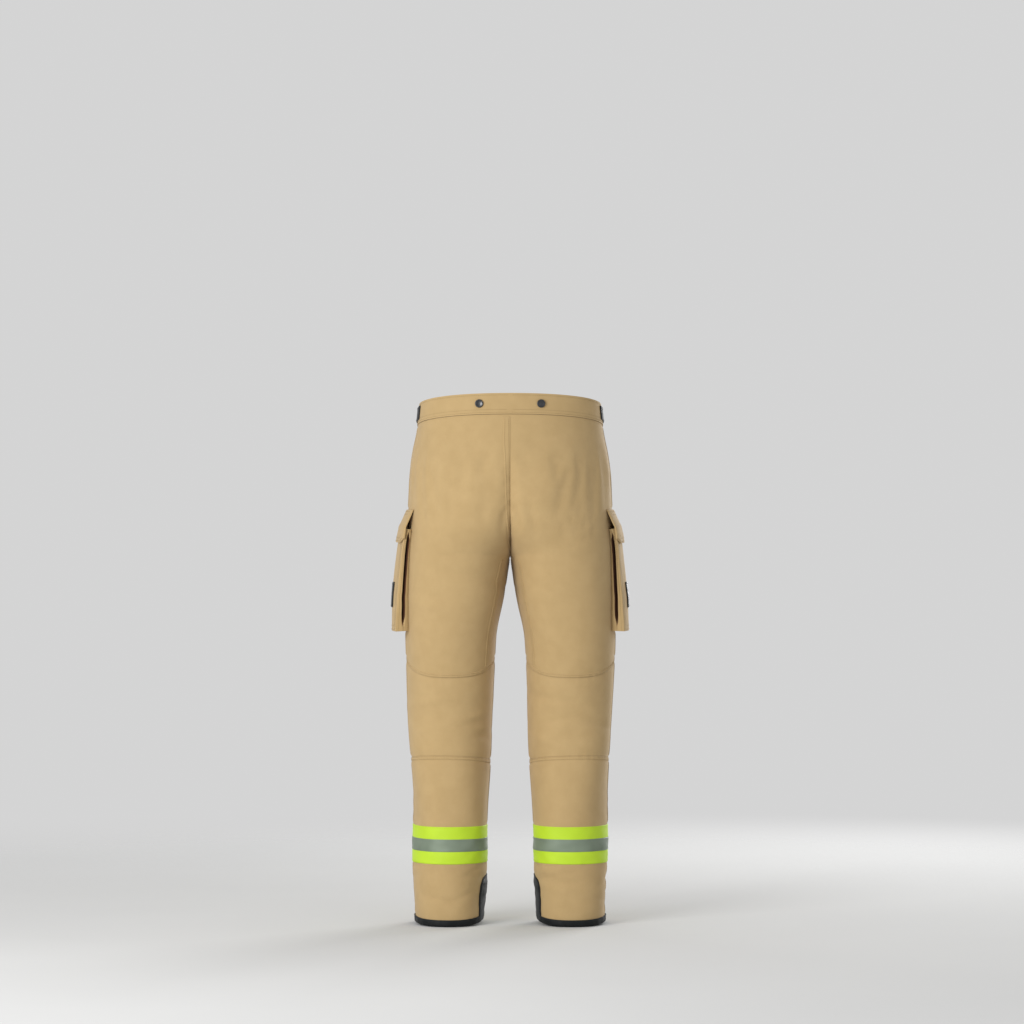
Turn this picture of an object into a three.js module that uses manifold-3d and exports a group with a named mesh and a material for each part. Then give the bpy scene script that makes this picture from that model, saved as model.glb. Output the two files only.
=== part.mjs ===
// Bunker pants: the trousers of a structural firefighting suit, in the shape they have when worn.
// Units are millimetres, +Z is up. The wearer faces -Y, so the wearer's left leg is on the +X side.
// Heights are first measured up from the hem; the whole group is then lowered so that the origin is the
// middle of the waist opening, level with the top of the waistband, where a wearer holds the trousers.
import * as THREE from "three";
import { mergeVertices } from "three/addons/utils/BufferGeometryUtils.js";
import Module from "manifold-3d";

const wasm = await Module();
wasm.setup();

// ---------------------------------------------------------------- driving dimensions
const HEM_TO_CROTCH = 745; // inseam
const RISE = 263; // crotch to the middle of the waistband's lower edge
const WAISTBAND_TALL = 42;
const WAIST_SLOPE = 0.16; // the back of the waist is higher than its front, per mm of depth
const WAIST_HALF_WIDTH = 183;
const HIP_HALF_WIDTH = 207;
const HEM_HALF_WIDTH = 68.5; // half the width of one leg at its hem
const HEM_INSIDE = 55; // from the middle of the trousers to the inside of the hem
const SQUARENESS = 2.2; // exponent of the leg's superellipse section; 2 is an ellipse

const SHELL = 2.4; // outer shell cloth with its turned seams
const LINER = 4; // moisture barrier and quilted thermal liner together
const SEAT_GAP = 0.45; // between two pieces that are sewn face to face
const CUT_GAP = 0.3; // between two panels that meet edge to edge
const CENTRE_GAP = 0.2; // from the middle plane to the centre seam's edge, each side

const KNEE_AXIS_HEIGHT = 423;
const KNEE_ZONE_HALF = 87; // the back knee panel reaches this far above and below the axis
const FRONT_SEAT_DROP = 60; // from the waistband down to where the front starts to bend with the hip
const BACK_SEAT_DROP = 103; // the same at the back
const THIGH_EDGE_DROP = 108; // from the crotch down to the stiff thigh tube's edge, at the middle plane
const THIGH_EDGE_RISE = 0.6; // how fast that edge climbs towards the outside, per mm of x

const TAPE_LOW = 126; // lower edge of the reflective trim
const TAPE_TALL = 75; // three 25 mm stripes
const SILVER_TALL = 25;
const TAPE_THICK = 1;
const SILVER_THICK = 0.6;

const BINDING_TALL = 14; // black hem binding, outside
const BINDING_THICK = 1.7;
const GUARD_TOP = 102; // black kick guard on the inside of the ankle
const GUARD_HALF_ANGLE = 0.52;
const GUARD_THICK = 1.6;

const POCKET_DROP = 152; // from the crotch down to the bottom of the cargo pocket
const POCKET_TALL = 205; // up to the top edge of the pocket's face, under the flap
const POCKET_FRONT_ANGLE = 0.85; // how far round the leg the pocket reaches, ahead of the side seam
const POCKET_BACK_ANGLE = 0.42; // and behind it
const POCKET_DEEP_LOW = 26; // depth of the bellows at the bottom
const POCKET_DEEP_HIGH = 11; // and at the top
const GUSSET_THICK = 2.4;
const FLAP_OVERLAP = 28; // how far the flap hangs below the top of the face
const FLAP_ABOVE = 40; // from the top of the face up to the flap's sewn edge
const FLAP_THICK = 3;
const FLAP_OVERHANG = 0.035; // the flap is this much wider than the pocket each side, in radians
const POCKET_TAB_ABOVE = 48; // from the pocket's bottom up to the black tab on its face
const POCKET_TAB_TALL = 50;
const POCKET_TAB_THICK = 2.7;
const POCKET_TAB_FRONT_ANGLE = 0.5;
const POCKET_TAB_BACK_ANGLE = 0.16;

const KNEE_PATCH_MARGIN = 4; // knee panel left bare above and below the patch
const KNEE_PATCH_HALF_ANGLE = 0.92;
const KNEE_PATCH_THICK = 2;
const KNEE_FOAM_THICK = 5;
const KNEE_RIM = 12; // sewn border of the patch round the foam

const FLY_TALL = 152; // from the waistband's lower edge down to the foot of the fly
const FLY_SEWN_X = 34; // the placket is sewn down here, on the wearer's left
const FLY_FREE_X = -14;
const ZIP_HALF_WIDTH = 13;
const ZIP_TAPE_THICK = 1.4;
const ZIP_CHAIN_HALF = 3;
const ZIP_CHAIN_THICK = 1.6;
const SLIDER_HALF = 5.5;
const SLIDER_LONG = 14;
const SLIDER_THICK = 3;
const PLACKET_THICK = 2.4;
const FLY_CLEARANCE = 0.5;
const FLY_MARGIN = 4; // bare edge left round the zip, the tab and the stud
const FACING_WIDE = 12;
const ZIP_ON_BAND = 8; // the zip's top runs this far up the waistband

const CLOSURE_REACH = 50; // waistband closing tab, from its sewn edge past the middle
const CLOSURE_THICK = 2.6;
const STUD_RADIUS = 7.5;
const STUD_TALL = 3;
const TAB_FRONT_ANGLE = 0.62; // waist adjusting tab, ahead of the side
const TAB_BACK_ANGLE = 0.22;
const TAB_MARGIN = 7; // waistband left bare above and below the tab
const TAB_THICK = 2.4;
const BUTTON_RADIUS = 8.5;
const BUTTON_TALL = 3;
const BUTTON_SHANK_RADIUS = 3;
const BUTTON_SHANK_TALL = 2.5;
const FRONT_BUTTON_X = 88;
const BACK_BUTTON_X = 62;

// ---------------------------------------------------------------- the shape of one leg
// Stations up the leg: height, outermost x, innermost x, depth forward, depth back, middle's y.
// Above the crotch the innermost x is negative: the section runs on past the middle plane and is
// cut there, which gives the crotch its curve.
const HEM_TO_WAIST = HEM_TO_CROTCH + RISE;
const FRONT_SEAT_EDGE = HEM_TO_WAIST - FRONT_SEAT_DROP;
const BACK_SEAT_EDGE = HEM_TO_WAIST - BACK_SEAT_DROP;
const THIGH_EDGE_IN = HEM_TO_CROTCH - THIGH_EDGE_DROP;
const POCKET_LOW = HEM_TO_CROTCH - POCKET_DROP;
const POCKET_HIGH = POCKET_LOW + POCKET_TALL;
const FLAP_LOW = POCKET_HIGH - FLAP_OVERLAP;
const FLAP_HIGH = POCKET_HIGH + FLAP_ABOVE;
const POCKET_TAB_LOW = POCKET_LOW + POCKET_TAB_ABOVE;
const FLY_LOW = HEM_TO_WAIST - FLY_TALL;
const kneeHigh = KNEE_AXIS_HEIGHT + KNEE_ZONE_HALF;
const kneeLow = KNEE_AXIS_HEIGHT - KNEE_ZONE_HALF;
const waistHalf = WAIST_HALF_WIDTH;
const hemOut = HEM_INSIDE + 2 * HEM_HALF_WIDTH;
const STATIONS = [
  [0, hemOut, HEM_INSIDE, 84, 86, 10],
  [TAPE_LOW, hemOut + 1.5, HEM_INSIDE - 5.5, 84, 89, 8],
  [TAPE_LOW + TAPE_TALL, hemOut + 3, HEM_INSIDE - 7, 86, 91, 6],
  [KNEE_AXIS_HEIGHT - 98, hemOut + 8, HEM_INSIDE - 11.5, 92, 92, 0],
  [KNEE_AXIS_HEIGHT + 4, hemOut + 12, HEM_INSIDE - 15, 97, 92, -5],
  [KNEE_AXIS_HEIGHT + 90, HIP_HALF_WIDTH + 1, HEM_INSIDE - 17.5, 101, 98, -4],
  [HEM_TO_CROTCH - 165, HIP_HALF_WIDTH + 3.5, HEM_INSIDE - 21, 107, 106, -2],
  [HEM_TO_CROTCH - 84, HIP_HALF_WIDTH + 4, 17, 113, 116, 0],
  [HEM_TO_CROTCH, HIP_HALF_WIDTH + 2, 1.5, 118, 130, 0],
  [HEM_TO_CROTCH + 80, HIP_HALF_WIDTH, -72, 120, 147, 0],
  [HEM_TO_WAIST - 88, HIP_HALF_WIDTH - 6, -150, 120, 146, 0],
  [HEM_TO_WAIST - 8, waistHalf + 5, -waistHalf - 2, 120, 132, 0],
  [HEM_TO_WAIST + 102, waistHalf - 5, -waistHalf + 5, 120, 126, 0],
];
const ROW_STEP = 65; // the skin is straight between rows, so that every layer keeps its clearance
const COLUMNS = 16;

// Smooth value of one station column at a height (monotone cubic).
function profile(column, height) {
  const s = STATIONS;
  const last = s.length - 1;
  const h = Math.min(Math.max(height, s[0][0]), s[last][0]);
  let i = 0;
  while (i < last - 1 && h > s[i + 1][0]) i += 1;
  const slope = (j) => (s[j + 1][column] - s[j][column]) / (s[j + 1][0] - s[j][0]);
  const tangent = (j) => {
    if (j === 0) return slope(0);
    if (j === last) return slope(last - 1);
    const before = slope(j - 1);
    const after = slope(j);
    return before * after <= 0 ? 0 : (2 * before * after) / (before + after);
  };
  const span = s[i + 1][0] - s[i][0];
  const u = (h - s[i][0]) / span;
  const rise = s[i + 1][column] - s[i][column];
  const a = tangent(i) * span;
  const b = tangent(i + 1) * span;
  return s[i][column] + u * (a + u * (3 * rise - 2 * a - b + u * (a + b - 2 * rise)));
}

// A point on the skin exactly at a column angle and a row height, moved out by offset.
// Angle 0 is the inside of the leg, a quarter turn is its front and half a turn its outside.
function stationPoint(angle, height, offset) {
  const out = profile(1, height);
  const into = profile(2, height);
  const power = 2 / SQUARENESS;
  const round = (v) => Math.sign(v) * Math.abs(v) ** power;
  const middle = (out + into) / 2;
  const half = (out - into) / 2 + offset;
  const c = Math.cos(angle);
  const s = Math.sin(angle);
  const deep = (s > 0 ? profile(3, height) : profile(4, height)) + offset;
  return [middle - half * round(c), profile(5, height) - deep * round(s)];
}

// The skin between rows and columns is flat, so pieces of any outline lie flush on each other.
function skinPoint(side, angle, height, offset) {
  const column = (angle / (2 * Math.PI)) * COLUMNS;
  const row = height / ROW_STEP;
  const c0 = Math.floor(column + 1e-9);
  const r0 = Math.floor(row + 1e-9);
  const u = column - c0;
  const v = row - r0;
  const at = (c, r) => stationPoint((c / COLUMNS) * 2 * Math.PI, r * ROW_STEP, offset);
  const [p, q, m, n] = [at(c0, r0), at(c0 + 1, r0), at(c0, r0 + 1), at(c0 + 1, r0 + 1)];
  const mix = (k) => (1 - v) * ((1 - u) * p[k] + u * q[k]) + v * ((1 - u) * m[k] + u * n[k]);
  return [side * mix(0), mix(1), height];
}

// ---------------------------------------------------------------- solids from the skin
const breaks = (low, high, step, extra = []) => {
  const found = [low, high, ...extra.filter((e) => e > low && e < high)];
  for (let k = Math.ceil(low / step); k * step < high; k += 1) found.push(k * step);
  found.sort((a, b) => a - b);
  return found.filter((v, i) => i === 0 || v - found[i - 1] > 1e-4);
};

// A sheet that lies on the skin between two angles and two heights. inner and outer are its offsets,
// as numbers or as functions of the height. A full turn makes a closed tube.
function sheet(side, { angles = [0, 2 * Math.PI], heights, inner, outer, extra = [] }) {
  const closed = angles[1] - angles[0] > 2 * Math.PI - 1e-6;
  const columns = breaks(angles[0], angles[1], (2 * Math.PI) / COLUMNS);
  if (closed) columns.pop();
  const rows = breaks(heights[0], heights[1], ROW_STEP, extra);
  const offset = (value, height) => (typeof value === "function" ? value(height) : value);
  const positions = [];
  for (const value of [outer, inner])
    for (const height of rows)
      for (const angle of columns)
        positions.push(...skinPoint(side, angle, height, offset(value, height)));
  const wide = columns.length;
  const tall = rows.length;
  const layer = wide * tall;
  const index = [];
  const quad = (a, b, c, d) => index.push(a, b, c, a, c, d);
  const spans = closed ? wide : wide - 1;
  for (let r = 0; r < tall - 1; r += 1)
    for (let c = 0; c < spans; c += 1) {
      const next = (c + 1) % wide;
      const [a, b] = [r * wide + c, r * wide + next];
      quad(a, b, b + wide, a + wide);
      // Both faces are split along the same diagonal, so that nested sheets never cross.
      quad(layer + a, layer + a + wide, layer + b + wide, layer + b);
    }
  for (let c = 0; c < spans; c += 1) {
    const next = (c + 1) % wide;
    const top = (tall - 1) * wide;
    quad(next, c, layer + c, layer + next);
    quad(top + c, top + next, layer + top + next, layer + top + c);
  }
  if (!closed)
    for (let r = 0; r < tall - 1; r += 1) {
      const [a, b] = [r * wide, (r + 1) * wide];
      const [p, q] = [a + wide - 1, b + wide - 1];
      quad(a, b, layer + b, layer + a);
      quad(q, p, layer + p, layer + q);
    }
  const geometry = new THREE.BufferGeometry();
  geometry.setAttribute("position", new THREE.Float32BufferAttribute(positions, 3));
  geometry.setIndex(index);
  return facingOut(geometry);
}

function facingOut(geometry) {
  const p = geometry.getAttribute("position");
  const index = Array.from(geometry.index.array);
  const v = (i) => new THREE.Vector3().fromBufferAttribute(p, i);
  let volume = 0;
  for (let i = 0; i < index.length; i += 3)
    volume += v(index[i]).dot(v(index[i + 1]).cross(v(index[i + 2])));
  if (volume < 0)
    for (let i = 0; i < index.length; i += 3)
      [index[i + 1], index[i + 2]] = [index[i + 2], index[i + 1]];
  geometry.setIndex(index);
  return geometry;
}

function solidOf(geometry) {
  const bare = geometry.clone();
  bare.deleteAttribute("normal");
  bare.deleteAttribute("uv");
  const merged = mergeVertices(bare, 1e-4);
  return new wasm.Manifold(
    new wasm.Mesh({
      numProp: 3,
      vertProperties: merged.getAttribute("position").array,
      triVerts: new Uint32Array(merged.index.array),
    }),
  );
}

function geometryOf(solid) {
  const made = solid.getMesh();
  const geometry = new THREE.BufferGeometry();
  geometry.setAttribute("position", new THREE.BufferAttribute(made.vertProperties, 3));
  geometry.setIndex(new THREE.BufferAttribute(made.triVerts, 1));
  geometry.computeVertexNormals();
  return geometry;
}

const BLOCK = 3000; // a cutting block is larger than the trousers

// Everything on one side of a plane, as a block: the plane passes through point, normal faces out of it.
function halfSpace(point, normal) {
  const block = new THREE.BoxGeometry(BLOCK, BLOCK, BLOCK);
  const up = new THREE.Vector3(...normal).normalize();
  const turn = new THREE.Quaternion().setFromUnitVectors(new THREE.Vector3(0, 0, 1), up);
  block.translate(0, 0, -BLOCK / 2);
  block.applyQuaternion(turn);
  block.translate(...point);
  return solidOf(block);
}

const keep = (solid, ...planes) =>
  planes.reduce((left, [point, normal]) => left.intersect(halfSpace(point, normal)), solid);

// A sheet made of whole rows of the skin and then cut level, so that its faces match every other layer's.
function layer(side, { angles = WHOLE, heights: [low, high], inner, outer }) {
  const rows = [Math.floor(low / ROW_STEP) * ROW_STEP, Math.ceil(high / ROW_STEP) * ROW_STEP];
  const whole = solidOf(sheet(side, { angles, heights: rows, inner, outer }));
  return keep(whole, [[0, 0, low], [0, 0, -1]], [[0, 0, high], [0, 0, 1]]);
}

// Planes that the panels are cut to. Each is [point, outward normal of what is kept].
const ownSide = (side) => [[side * CENTRE_GAP, 0, 0], [-side, 0, 0]];
const waistLevel = (height) => [0, 0, height];
const underWaist = (height) => [waistLevel(height), [0, -WAIST_SLOPE, 1]];
const overWaist = (height) => [waistLevel(height), [0, WAIST_SLOPE, -1]];
const aboveThigh = (side, height) => [[0, 0, height], [side * THIGH_EDGE_RISE, 0, -1]];
const underHip = (side, height) => [[0, 0, height], [-side * THIGH_EDGE_RISE, 0, 1]];

// A piece sewn on the skin, relieved wherever its back would come closer to the skin than the cut gap.
function sewnOn(side, solid, [low, high]) {
  const skin = layer(side, { heights: [low - ROW_STEP, high + ROW_STEP], inner: -SHELL, outer: CUT_GAP });
  return solid.subtract(skin);
}

const HALF_TURN = Math.PI;
const FRONT = [0, HALF_TURN];
const BACK = [HALF_TURN, 2 * HALF_TURN];
const WHOLE = [0, 2 * HALF_TURN];
const SEAM_ANGLE = CUT_GAP / 2 / 90; // half the gap at a side seam, on a leg of about 90 mm radius
const seamed = ([from, to]) => [from + SEAM_ANGLE, to - SEAM_ANGLE];

const thighTop = THIGH_EDGE_IN + THIGH_EDGE_RISE * (HIP_HALF_WIDTH + 10); // clear above its slanted edge
const hemLine = BINDING_THICK + CUT_GAP; // the cloth starts above the turned binding
const linerInner = -SHELL - SEAT_GAP - LINER;
const linerOuter = -SHELL - SEAT_GAP;

// ---------------------------------------------------------------- materials
const finish = (color, roughness, metalness = 0) =>
  new THREE.MeshStandardMaterial({ color, roughness, metalness });
const SHELL_CLOTH = finish(0xb89c6a, 0.8);
const LINER_CLOTH = finish(0x2f3438, 0.85);
const COATED_CLOTH = finish(0x1b1c1e, 0.45);
const FOAM = finish(0x55585a, 0.9);
const FLUORESCENT = finish(0xc6e61e, 0.6);
const SILVER = finish(0x9aa39c, 0.4, 0.3);
const WEBBING = finish(0x202123, 0.7);
const ZIP_CLOTH = finish(0x26272a, 0.7);
const METAL = finish(0x9a8f78, 0.35, 1);
const BUTTON_RESIN = finish(0x17181a, 0.35);

const trousers = new THREE.Group();
trousers.position.z = -(HEM_TO_WAIST + WAISTBAND_TALL);

function piece(name, shape, material) {
  const geometry = shape.isBufferGeometry ? shape : geometryOf(shape);
  const mesh = new THREE.Mesh(geometry, material);
  mesh.name = name;
  trousers.add(mesh);
  return mesh;
}

// ---------------------------------------------------------------- outer shell and liner
function seatPanel(side, half, low) {
  const heights = [low, HEM_TO_WAIST + ROW_STEP];
  const whole = layer(side, { angles: seamed(half), heights, inner: -SHELL, outer: 0 });
  return keep(whole, ownSide(side), underWaist(HEM_TO_WAIST - CUT_GAP));
}

// The part of a layer that bends at the hip, from the thigh's slanting edge to the seat panels.
function hipRing(side, inner, outer) {
  const part = (angles, low, high) => layer(side, { angles, heights: [low, high - CUT_GAP], inner, outer });
  const round = part(WHOLE, THIGH_EDGE_IN, BACK_SEAT_EDGE);
  const whole = round.add(part(seamed(FRONT), BACK_SEAT_EDGE - ROW_STEP, FRONT_SEAT_EDGE));
  return keep(whole, ownSide(side), aboveThigh(side, THIGH_EDGE_IN + CUT_GAP));
}

function thighPanel(side, half) {
  const whole = layer(side, { angles: seamed(half), heights: [kneeHigh, thighTop], inner: -SHELL, outer: 0 });
  return keep(whole, underHip(side, THIGH_EDGE_IN));
}

function legPanels(side, word) {
  const panel = (half, heights) => layer(side, { angles: seamed(half), heights, inner: -SHELL, outer: 0 });
  const knee = [kneeLow + CUT_GAP, kneeHigh - CUT_GAP];
  piece(`${word}_front_seat_panel`, seatPanel(side, FRONT, FRONT_SEAT_EDGE), SHELL_CLOTH);
  piece(`${word}_back_seat_panel`, seatPanel(side, BACK, BACK_SEAT_EDGE), SHELL_CLOTH);
  piece(`${word}_hip_shell`, hipRing(side, -SHELL, 0), SHELL_CLOTH);
  piece(`${word}_front_thigh_panel`, thighPanel(side, FRONT), SHELL_CLOTH);
  piece(`${word}_back_thigh_panel`, thighPanel(side, BACK), SHELL_CLOTH);
  piece(`${word}_front_knee_panel`, panel(FRONT, knee), SHELL_CLOTH);
  piece(`${word}_back_knee_panel`, panel(BACK, knee), SHELL_CLOTH);
  piece(`${word}_shin_panel`, panel(FRONT, [hemLine, kneeLow]), SHELL_CLOTH);
  piece(`${word}_calf_panel`, panel(BACK, [hemLine, kneeLow]), SHELL_CLOTH);
}

function legLiner(side, word) {
  const tube = (heights) => layer(side, { heights, inner: linerInner, outer: linerOuter });
  piece(`${word}_hip_liner`, hipRing(side, linerInner, linerOuter), LINER_CLOTH);
  piece(`${word}_thigh_liner`, keep(tube([kneeHigh, thighTop]), underHip(side, THIGH_EDGE_IN)), LINER_CLOTH);
  piece(`${word}_knee_liner`, tube([kneeLow + CUT_GAP, kneeHigh - CUT_GAP]), LINER_CLOTH);
  piece(`${word}_shin_liner`, tube([hemLine, kneeLow]), LINER_CLOTH);
}

// A layer that goes round the whole waist: both sides' sheets, lapped at the middle plane.
function bothSides(make) {
  const half = (side) => keep(make(side), [[-side * 0.5, 0, 0], [-side, 0, 0]]);
  return half(1).add(half(-1));
}

function seatLiner() {
  const whole = bothSides((side) => {
    const part = (angles, low, high) =>
      layer(side, { angles, heights: [low, high], inner: linerInner, outer: linerOuter });
    const round = part(WHOLE, FRONT_SEAT_EDGE, HEM_TO_WAIST + ROW_STEP);
    return round.add(part(seamed(BACK), BACK_SEAT_EDGE, FRONT_SEAT_EDGE + ROW_STEP));
  });
  piece("seat_liner", keep(whole, underWaist(HEM_TO_WAIST - CUT_GAP)), LINER_CLOTH);
}

// ---------------------------------------------------------------- waistband and what is on it
const BAND_OUT = 1.5; // the band stands this proud of the shell
const onBand = BAND_OUT + SEAT_GAP;

// A strip of a layer that follows the sloping waistband, between two levels up the band.
function bandSheet(side, angles, inner, outer, from, to) {
  const heights = [HEM_TO_WAIST - ROW_STEP, HEM_TO_WAIST + 2 * ROW_STEP];
  const whole = layer(side, { angles, heights, inner, outer });
  return keep(whole, underWaist(HEM_TO_WAIST + to), overWaist(HEM_TO_WAIST + from));
}

function waistband() {
  const ring = bothSides((side) =>
    bandSheet(side, [0, 2 * HALF_TURN], linerInner, BAND_OUT, 0, WAISTBAND_TALL),
  );
  piece("waistband", ring, SHELL_CLOTH);
}

function waistTab(side, word) {
  const angles = [HALF_TURN - TAB_FRONT_ANGLE, HALF_TURN + TAB_BACK_ANGLE];
  const tab = bandSheet(side, angles, onBand, onBand + TAB_THICK, TAB_MARGIN, WAISTBAND_TALL - TAB_MARGIN);
  piece(`${word}_waist_tab`, tab, WEBBING);
}

// Where the skin of the waist is at a given x, on its front or back, halfway up the band.
function bandPoint(x, front) {
  const side = Math.sign(x);
  const level = HEM_TO_WAIST + WAISTBAND_TALL / 2;
  const forward = front ? -1 : 1;
  const height = level + WAIST_SLOPE * forward * profile(front ? 3 : 4, level);
  const at = (angle) => new THREE.Vector3(...skinPoint(side, angle, height, 0));
  const [from, to] = front ? FRONT : BACK;
  const step = (to - from) / 400;
  let nearest = from;
  for (let angle = from; angle <= to; angle += step)
    if (Math.abs(at(angle).x - x) < Math.abs(at(nearest).x - x)) nearest = angle;
  const along = at(nearest + step).sub(at(nearest)).normalize();
  const out = new THREE.Vector3(along.y, -along.x, 0);
  if (out.y * forward < 0) out.negate();
  return { point: at(nearest), out };
}

// A round piece turned about the outward direction of the band: a button or a press stud.
function turned(profilePoints, { point, out }) {
  const geometry = new THREE.LatheGeometry(
    profilePoints.map(([r, z]) => new THREE.Vector2(r, z)),
    12,
  );
  const turn = new THREE.Quaternion().setFromUnitVectors(new THREE.Vector3(0, 1, 0), out);
  geometry.applyQuaternion(turn);
  geometry.translate(point.x, point.y, point.z);
  return facingOut(mergeVertices(stripped(geometry), 1e-4));
}

function stripped(geometry) {
  const bare = geometry.clone();
  bare.deleteAttribute("normal");
  bare.deleteAttribute("uv");
  return bare;
}

function braceButton(name, x, front) {
  const base = onBand;
  const neck = base + BUTTON_SHANK_TALL;
  const top = neck + BUTTON_TALL;
  const outline = [
    [0, base],
    [BUTTON_SHANK_RADIUS, base],
    [BUTTON_SHANK_RADIUS, neck],
    [BUTTON_RADIUS - 0.8, neck],
    [BUTTON_RADIUS, neck + 0.8],
    [BUTTON_RADIUS, top - 0.8],
    [BUTTON_RADIUS - 0.8, top],
    [0, top],
  ];
  piece(name, turned(outline, bandPoint(x, front)), BUTTON_RESIN);
}

// ---------------------------------------------------------------- fly
// The belly is nearly flat behind the fly, so the fly's pieces are flat too and the slider runs straight.
const bandFrontLow = HEM_TO_WAIST - WAIST_SLOPE * profile(3, HEM_TO_WAIST);
const flyHigh = bandFrontLow + WAISTBAND_TALL - FLY_MARGIN;
const bellyFront = Math.min(
  ...breaks(FLY_LOW, flyHigh, ROW_STEP).flatMap((height) =>
    [0.2, 0.25, 0.3].map((turn) => skinPoint(1, turn * 2 * Math.PI, height, 0)[1]),
  ),
);
const zipOut = onBand + ZIP_TAPE_THICK;
const chainOut = zipOut + ZIP_CHAIN_THICK;
const sliderOut = chainOut + SEAT_GAP + SLIDER_THICK;
const placketIn = sliderOut + FLY_CLEARANCE;
const facingFront = placketIn - SEAT_GAP;

// A flat strip between two x and two heights; inner and outer are how far it stands out from the belly.
function flyStrip([x0, x1], [low, high], inner, outer) {
  const strip = new THREE.BoxGeometry(x1 - x0, outer - inner, high - low);
  strip.translate((x0 + x1) / 2, bellyFront - (inner + outer) / 2, (low + high) / 2);
  return solidOf(strip);
}

function fly() {
  const below = bandFrontLow - CUT_GAP;
  const zipTop = bandFrontLow + ZIP_ON_BAND;
  const zipWide = [-ZIP_HALF_WIDTH, ZIP_HALF_WIDTH];
  const chainWide = [-ZIP_CHAIN_HALF, ZIP_CHAIN_HALF];
  const zip = flyStrip(zipWide, [FLY_LOW + FLY_MARGIN, below], SEAT_GAP, zipOut)
    .add(flyStrip(zipWide, [below - ZIP_ON_BAND, zipTop], onBand, zipOut))
    .add(flyStrip(chainWide, [FLY_LOW + 2 * FLY_MARGIN, zipTop], zipOut - SEAT_GAP, chainOut));
  piece("fly_zip", zip, ZIP_CLOTH);

  const sliderTop = zipTop - FLY_MARGIN;
  const sliderWide = [-SLIDER_HALF, SLIDER_HALF];
  const slider = flyStrip(sliderWide, [sliderTop - SLIDER_LONG, sliderTop], chainOut + SEAT_GAP, sliderOut);
  piece("zip_slider", slider, METAL);

  const facingWide = [FLY_SEWN_X - FACING_WIDE, FLY_SEWN_X];
  const facing = flyStrip(facingWide, [FLY_LOW, below], SEAT_GAP, facingFront);
  const upperFacing = flyStrip(facingWide, [below - ZIP_ON_BAND, flyHigh], onBand, facingFront);
  piece("fly_facing", facing.add(upperFacing), SHELL_CLOTH);

  const placket = flyStrip([FLY_FREE_X, FLY_SEWN_X], [FLY_LOW, below], placketIn, placketIn + PLACKET_THICK);
  piece("fly_placket", placket, SHELL_CLOTH);

  const tabEnd = FLY_SEWN_X - CLOSURE_REACH;
  const tabLevels = [bandFrontLow + FLY_MARGIN, flyHigh];
  const closureOut = placketIn + CLOSURE_THICK;
  piece("waist_closure_tab", flyStrip([tabEnd, FLY_SEWN_X], tabLevels, placketIn, closureOut), SHELL_CLOTH);

  const studAt = new THREE.Vector3(
    tabEnd + STUD_RADIUS + FLY_MARGIN,
    bellyFront - closureOut - SEAT_GAP,
    (tabLevels[0] + tabLevels[1]) / 2,
  );
  const stud = [
    [0, 0],
    [STUD_RADIUS, 0],
    [STUD_RADIUS, STUD_TALL / 2],
    [STUD_RADIUS - STUD_TALL / 2, STUD_TALL],
    [0, STUD_TALL],
  ];
  piece("press_stud_cap", turned(stud, { point: studAt, out: new THREE.Vector3(0, -1, 0) }), METAL);
}

// ---------------------------------------------------------------- cargo pockets
const pocketDeep = (height) =>
  POCKET_DEEP_LOW +
  ((POCKET_DEEP_HIGH - POCKET_DEEP_LOW) * (height - POCKET_LOW)) / (POCKET_HIGH - POCKET_LOW);
const pocketFace = (height) => pocketDeep(height) + GUSSET_THICK;
const pocketFrom = HALF_TURN - POCKET_FRONT_ANGLE;
const pocketTo = HALF_TURN + POCKET_BACK_ANGLE;

function cargoPocket(side, word) {
  const wall = GUSSET_THICK / 110; // the gusset's thickness as an angle
  const gussetOut = (h) => pocketDeep(h) - SEAT_GAP;
  const strip = (angles, heights) => solidOf(sheet(side, { angles, heights, inner: SEAT_GAP, outer: gussetOut }));
  const upright = [POCKET_LOW, POCKET_HIGH];
  const gusset = strip([pocketFrom, pocketFrom + wall], upright)
    .add(strip([pocketTo - wall, pocketTo], upright))
    .add(strip([pocketFrom, pocketTo], [POCKET_LOW, POCKET_LOW + GUSSET_THICK]));
  piece(`${word}_pocket_gusset`, sewnOn(side, gusset, upright), SHELL_CLOTH);

  const face = sheet(side, {
    angles: [pocketFrom, pocketTo],
    heights: upright,
    inner: pocketDeep,
    outer: pocketFace,
  });
  piece(`${word}_pocket_face`, face, SHELL_CLOTH);

  const tabIn = (h) => pocketFace(h) + SEAT_GAP;
  const tab = sheet(side, {
    angles: [HALF_TURN - POCKET_TAB_FRONT_ANGLE, HALF_TURN + POCKET_TAB_BACK_ANGLE],
    heights: [POCKET_TAB_LOW, POCKET_TAB_LOW + POCKET_TAB_TALL],
    inner: tabIn,
    outer: (h) => tabIn(h) + POCKET_TAB_THICK,
  });
  piece(`${word}_pocket_tab`, tab, COATED_CLOTH);

  // The flap is sewn to the leg along its top, runs out over the pocket's edge and hangs over its face.
  const shoulder = POCKET_HIGH + 4;
  const flapIn = (h) => {
    if (h <= shoulder) return pocketFace(Math.min(h, POCKET_HIGH)) + SEAT_GAP + 0.4;
    const out = pocketFace(POCKET_HIGH) + SEAT_GAP + 0.4;
    return SEAT_GAP + ((out - SEAT_GAP) * (FLAP_HIGH - h)) / (FLAP_HIGH - shoulder);
  };
  const flap = sheet(side, {
    angles: [pocketFrom - FLAP_OVERHANG, pocketTo + FLAP_OVERHANG],
    heights: [FLAP_LOW, FLAP_HIGH],
    inner: flapIn,
    outer: (h) => flapIn(h) + FLAP_THICK,
    extra: [shoulder, POCKET_HIGH],
  });
  piece(`${word}_pocket_flap`, sewnOn(side, solidOf(flap), [FLAP_LOW, FLAP_HIGH]), SHELL_CLOTH);
}

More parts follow.
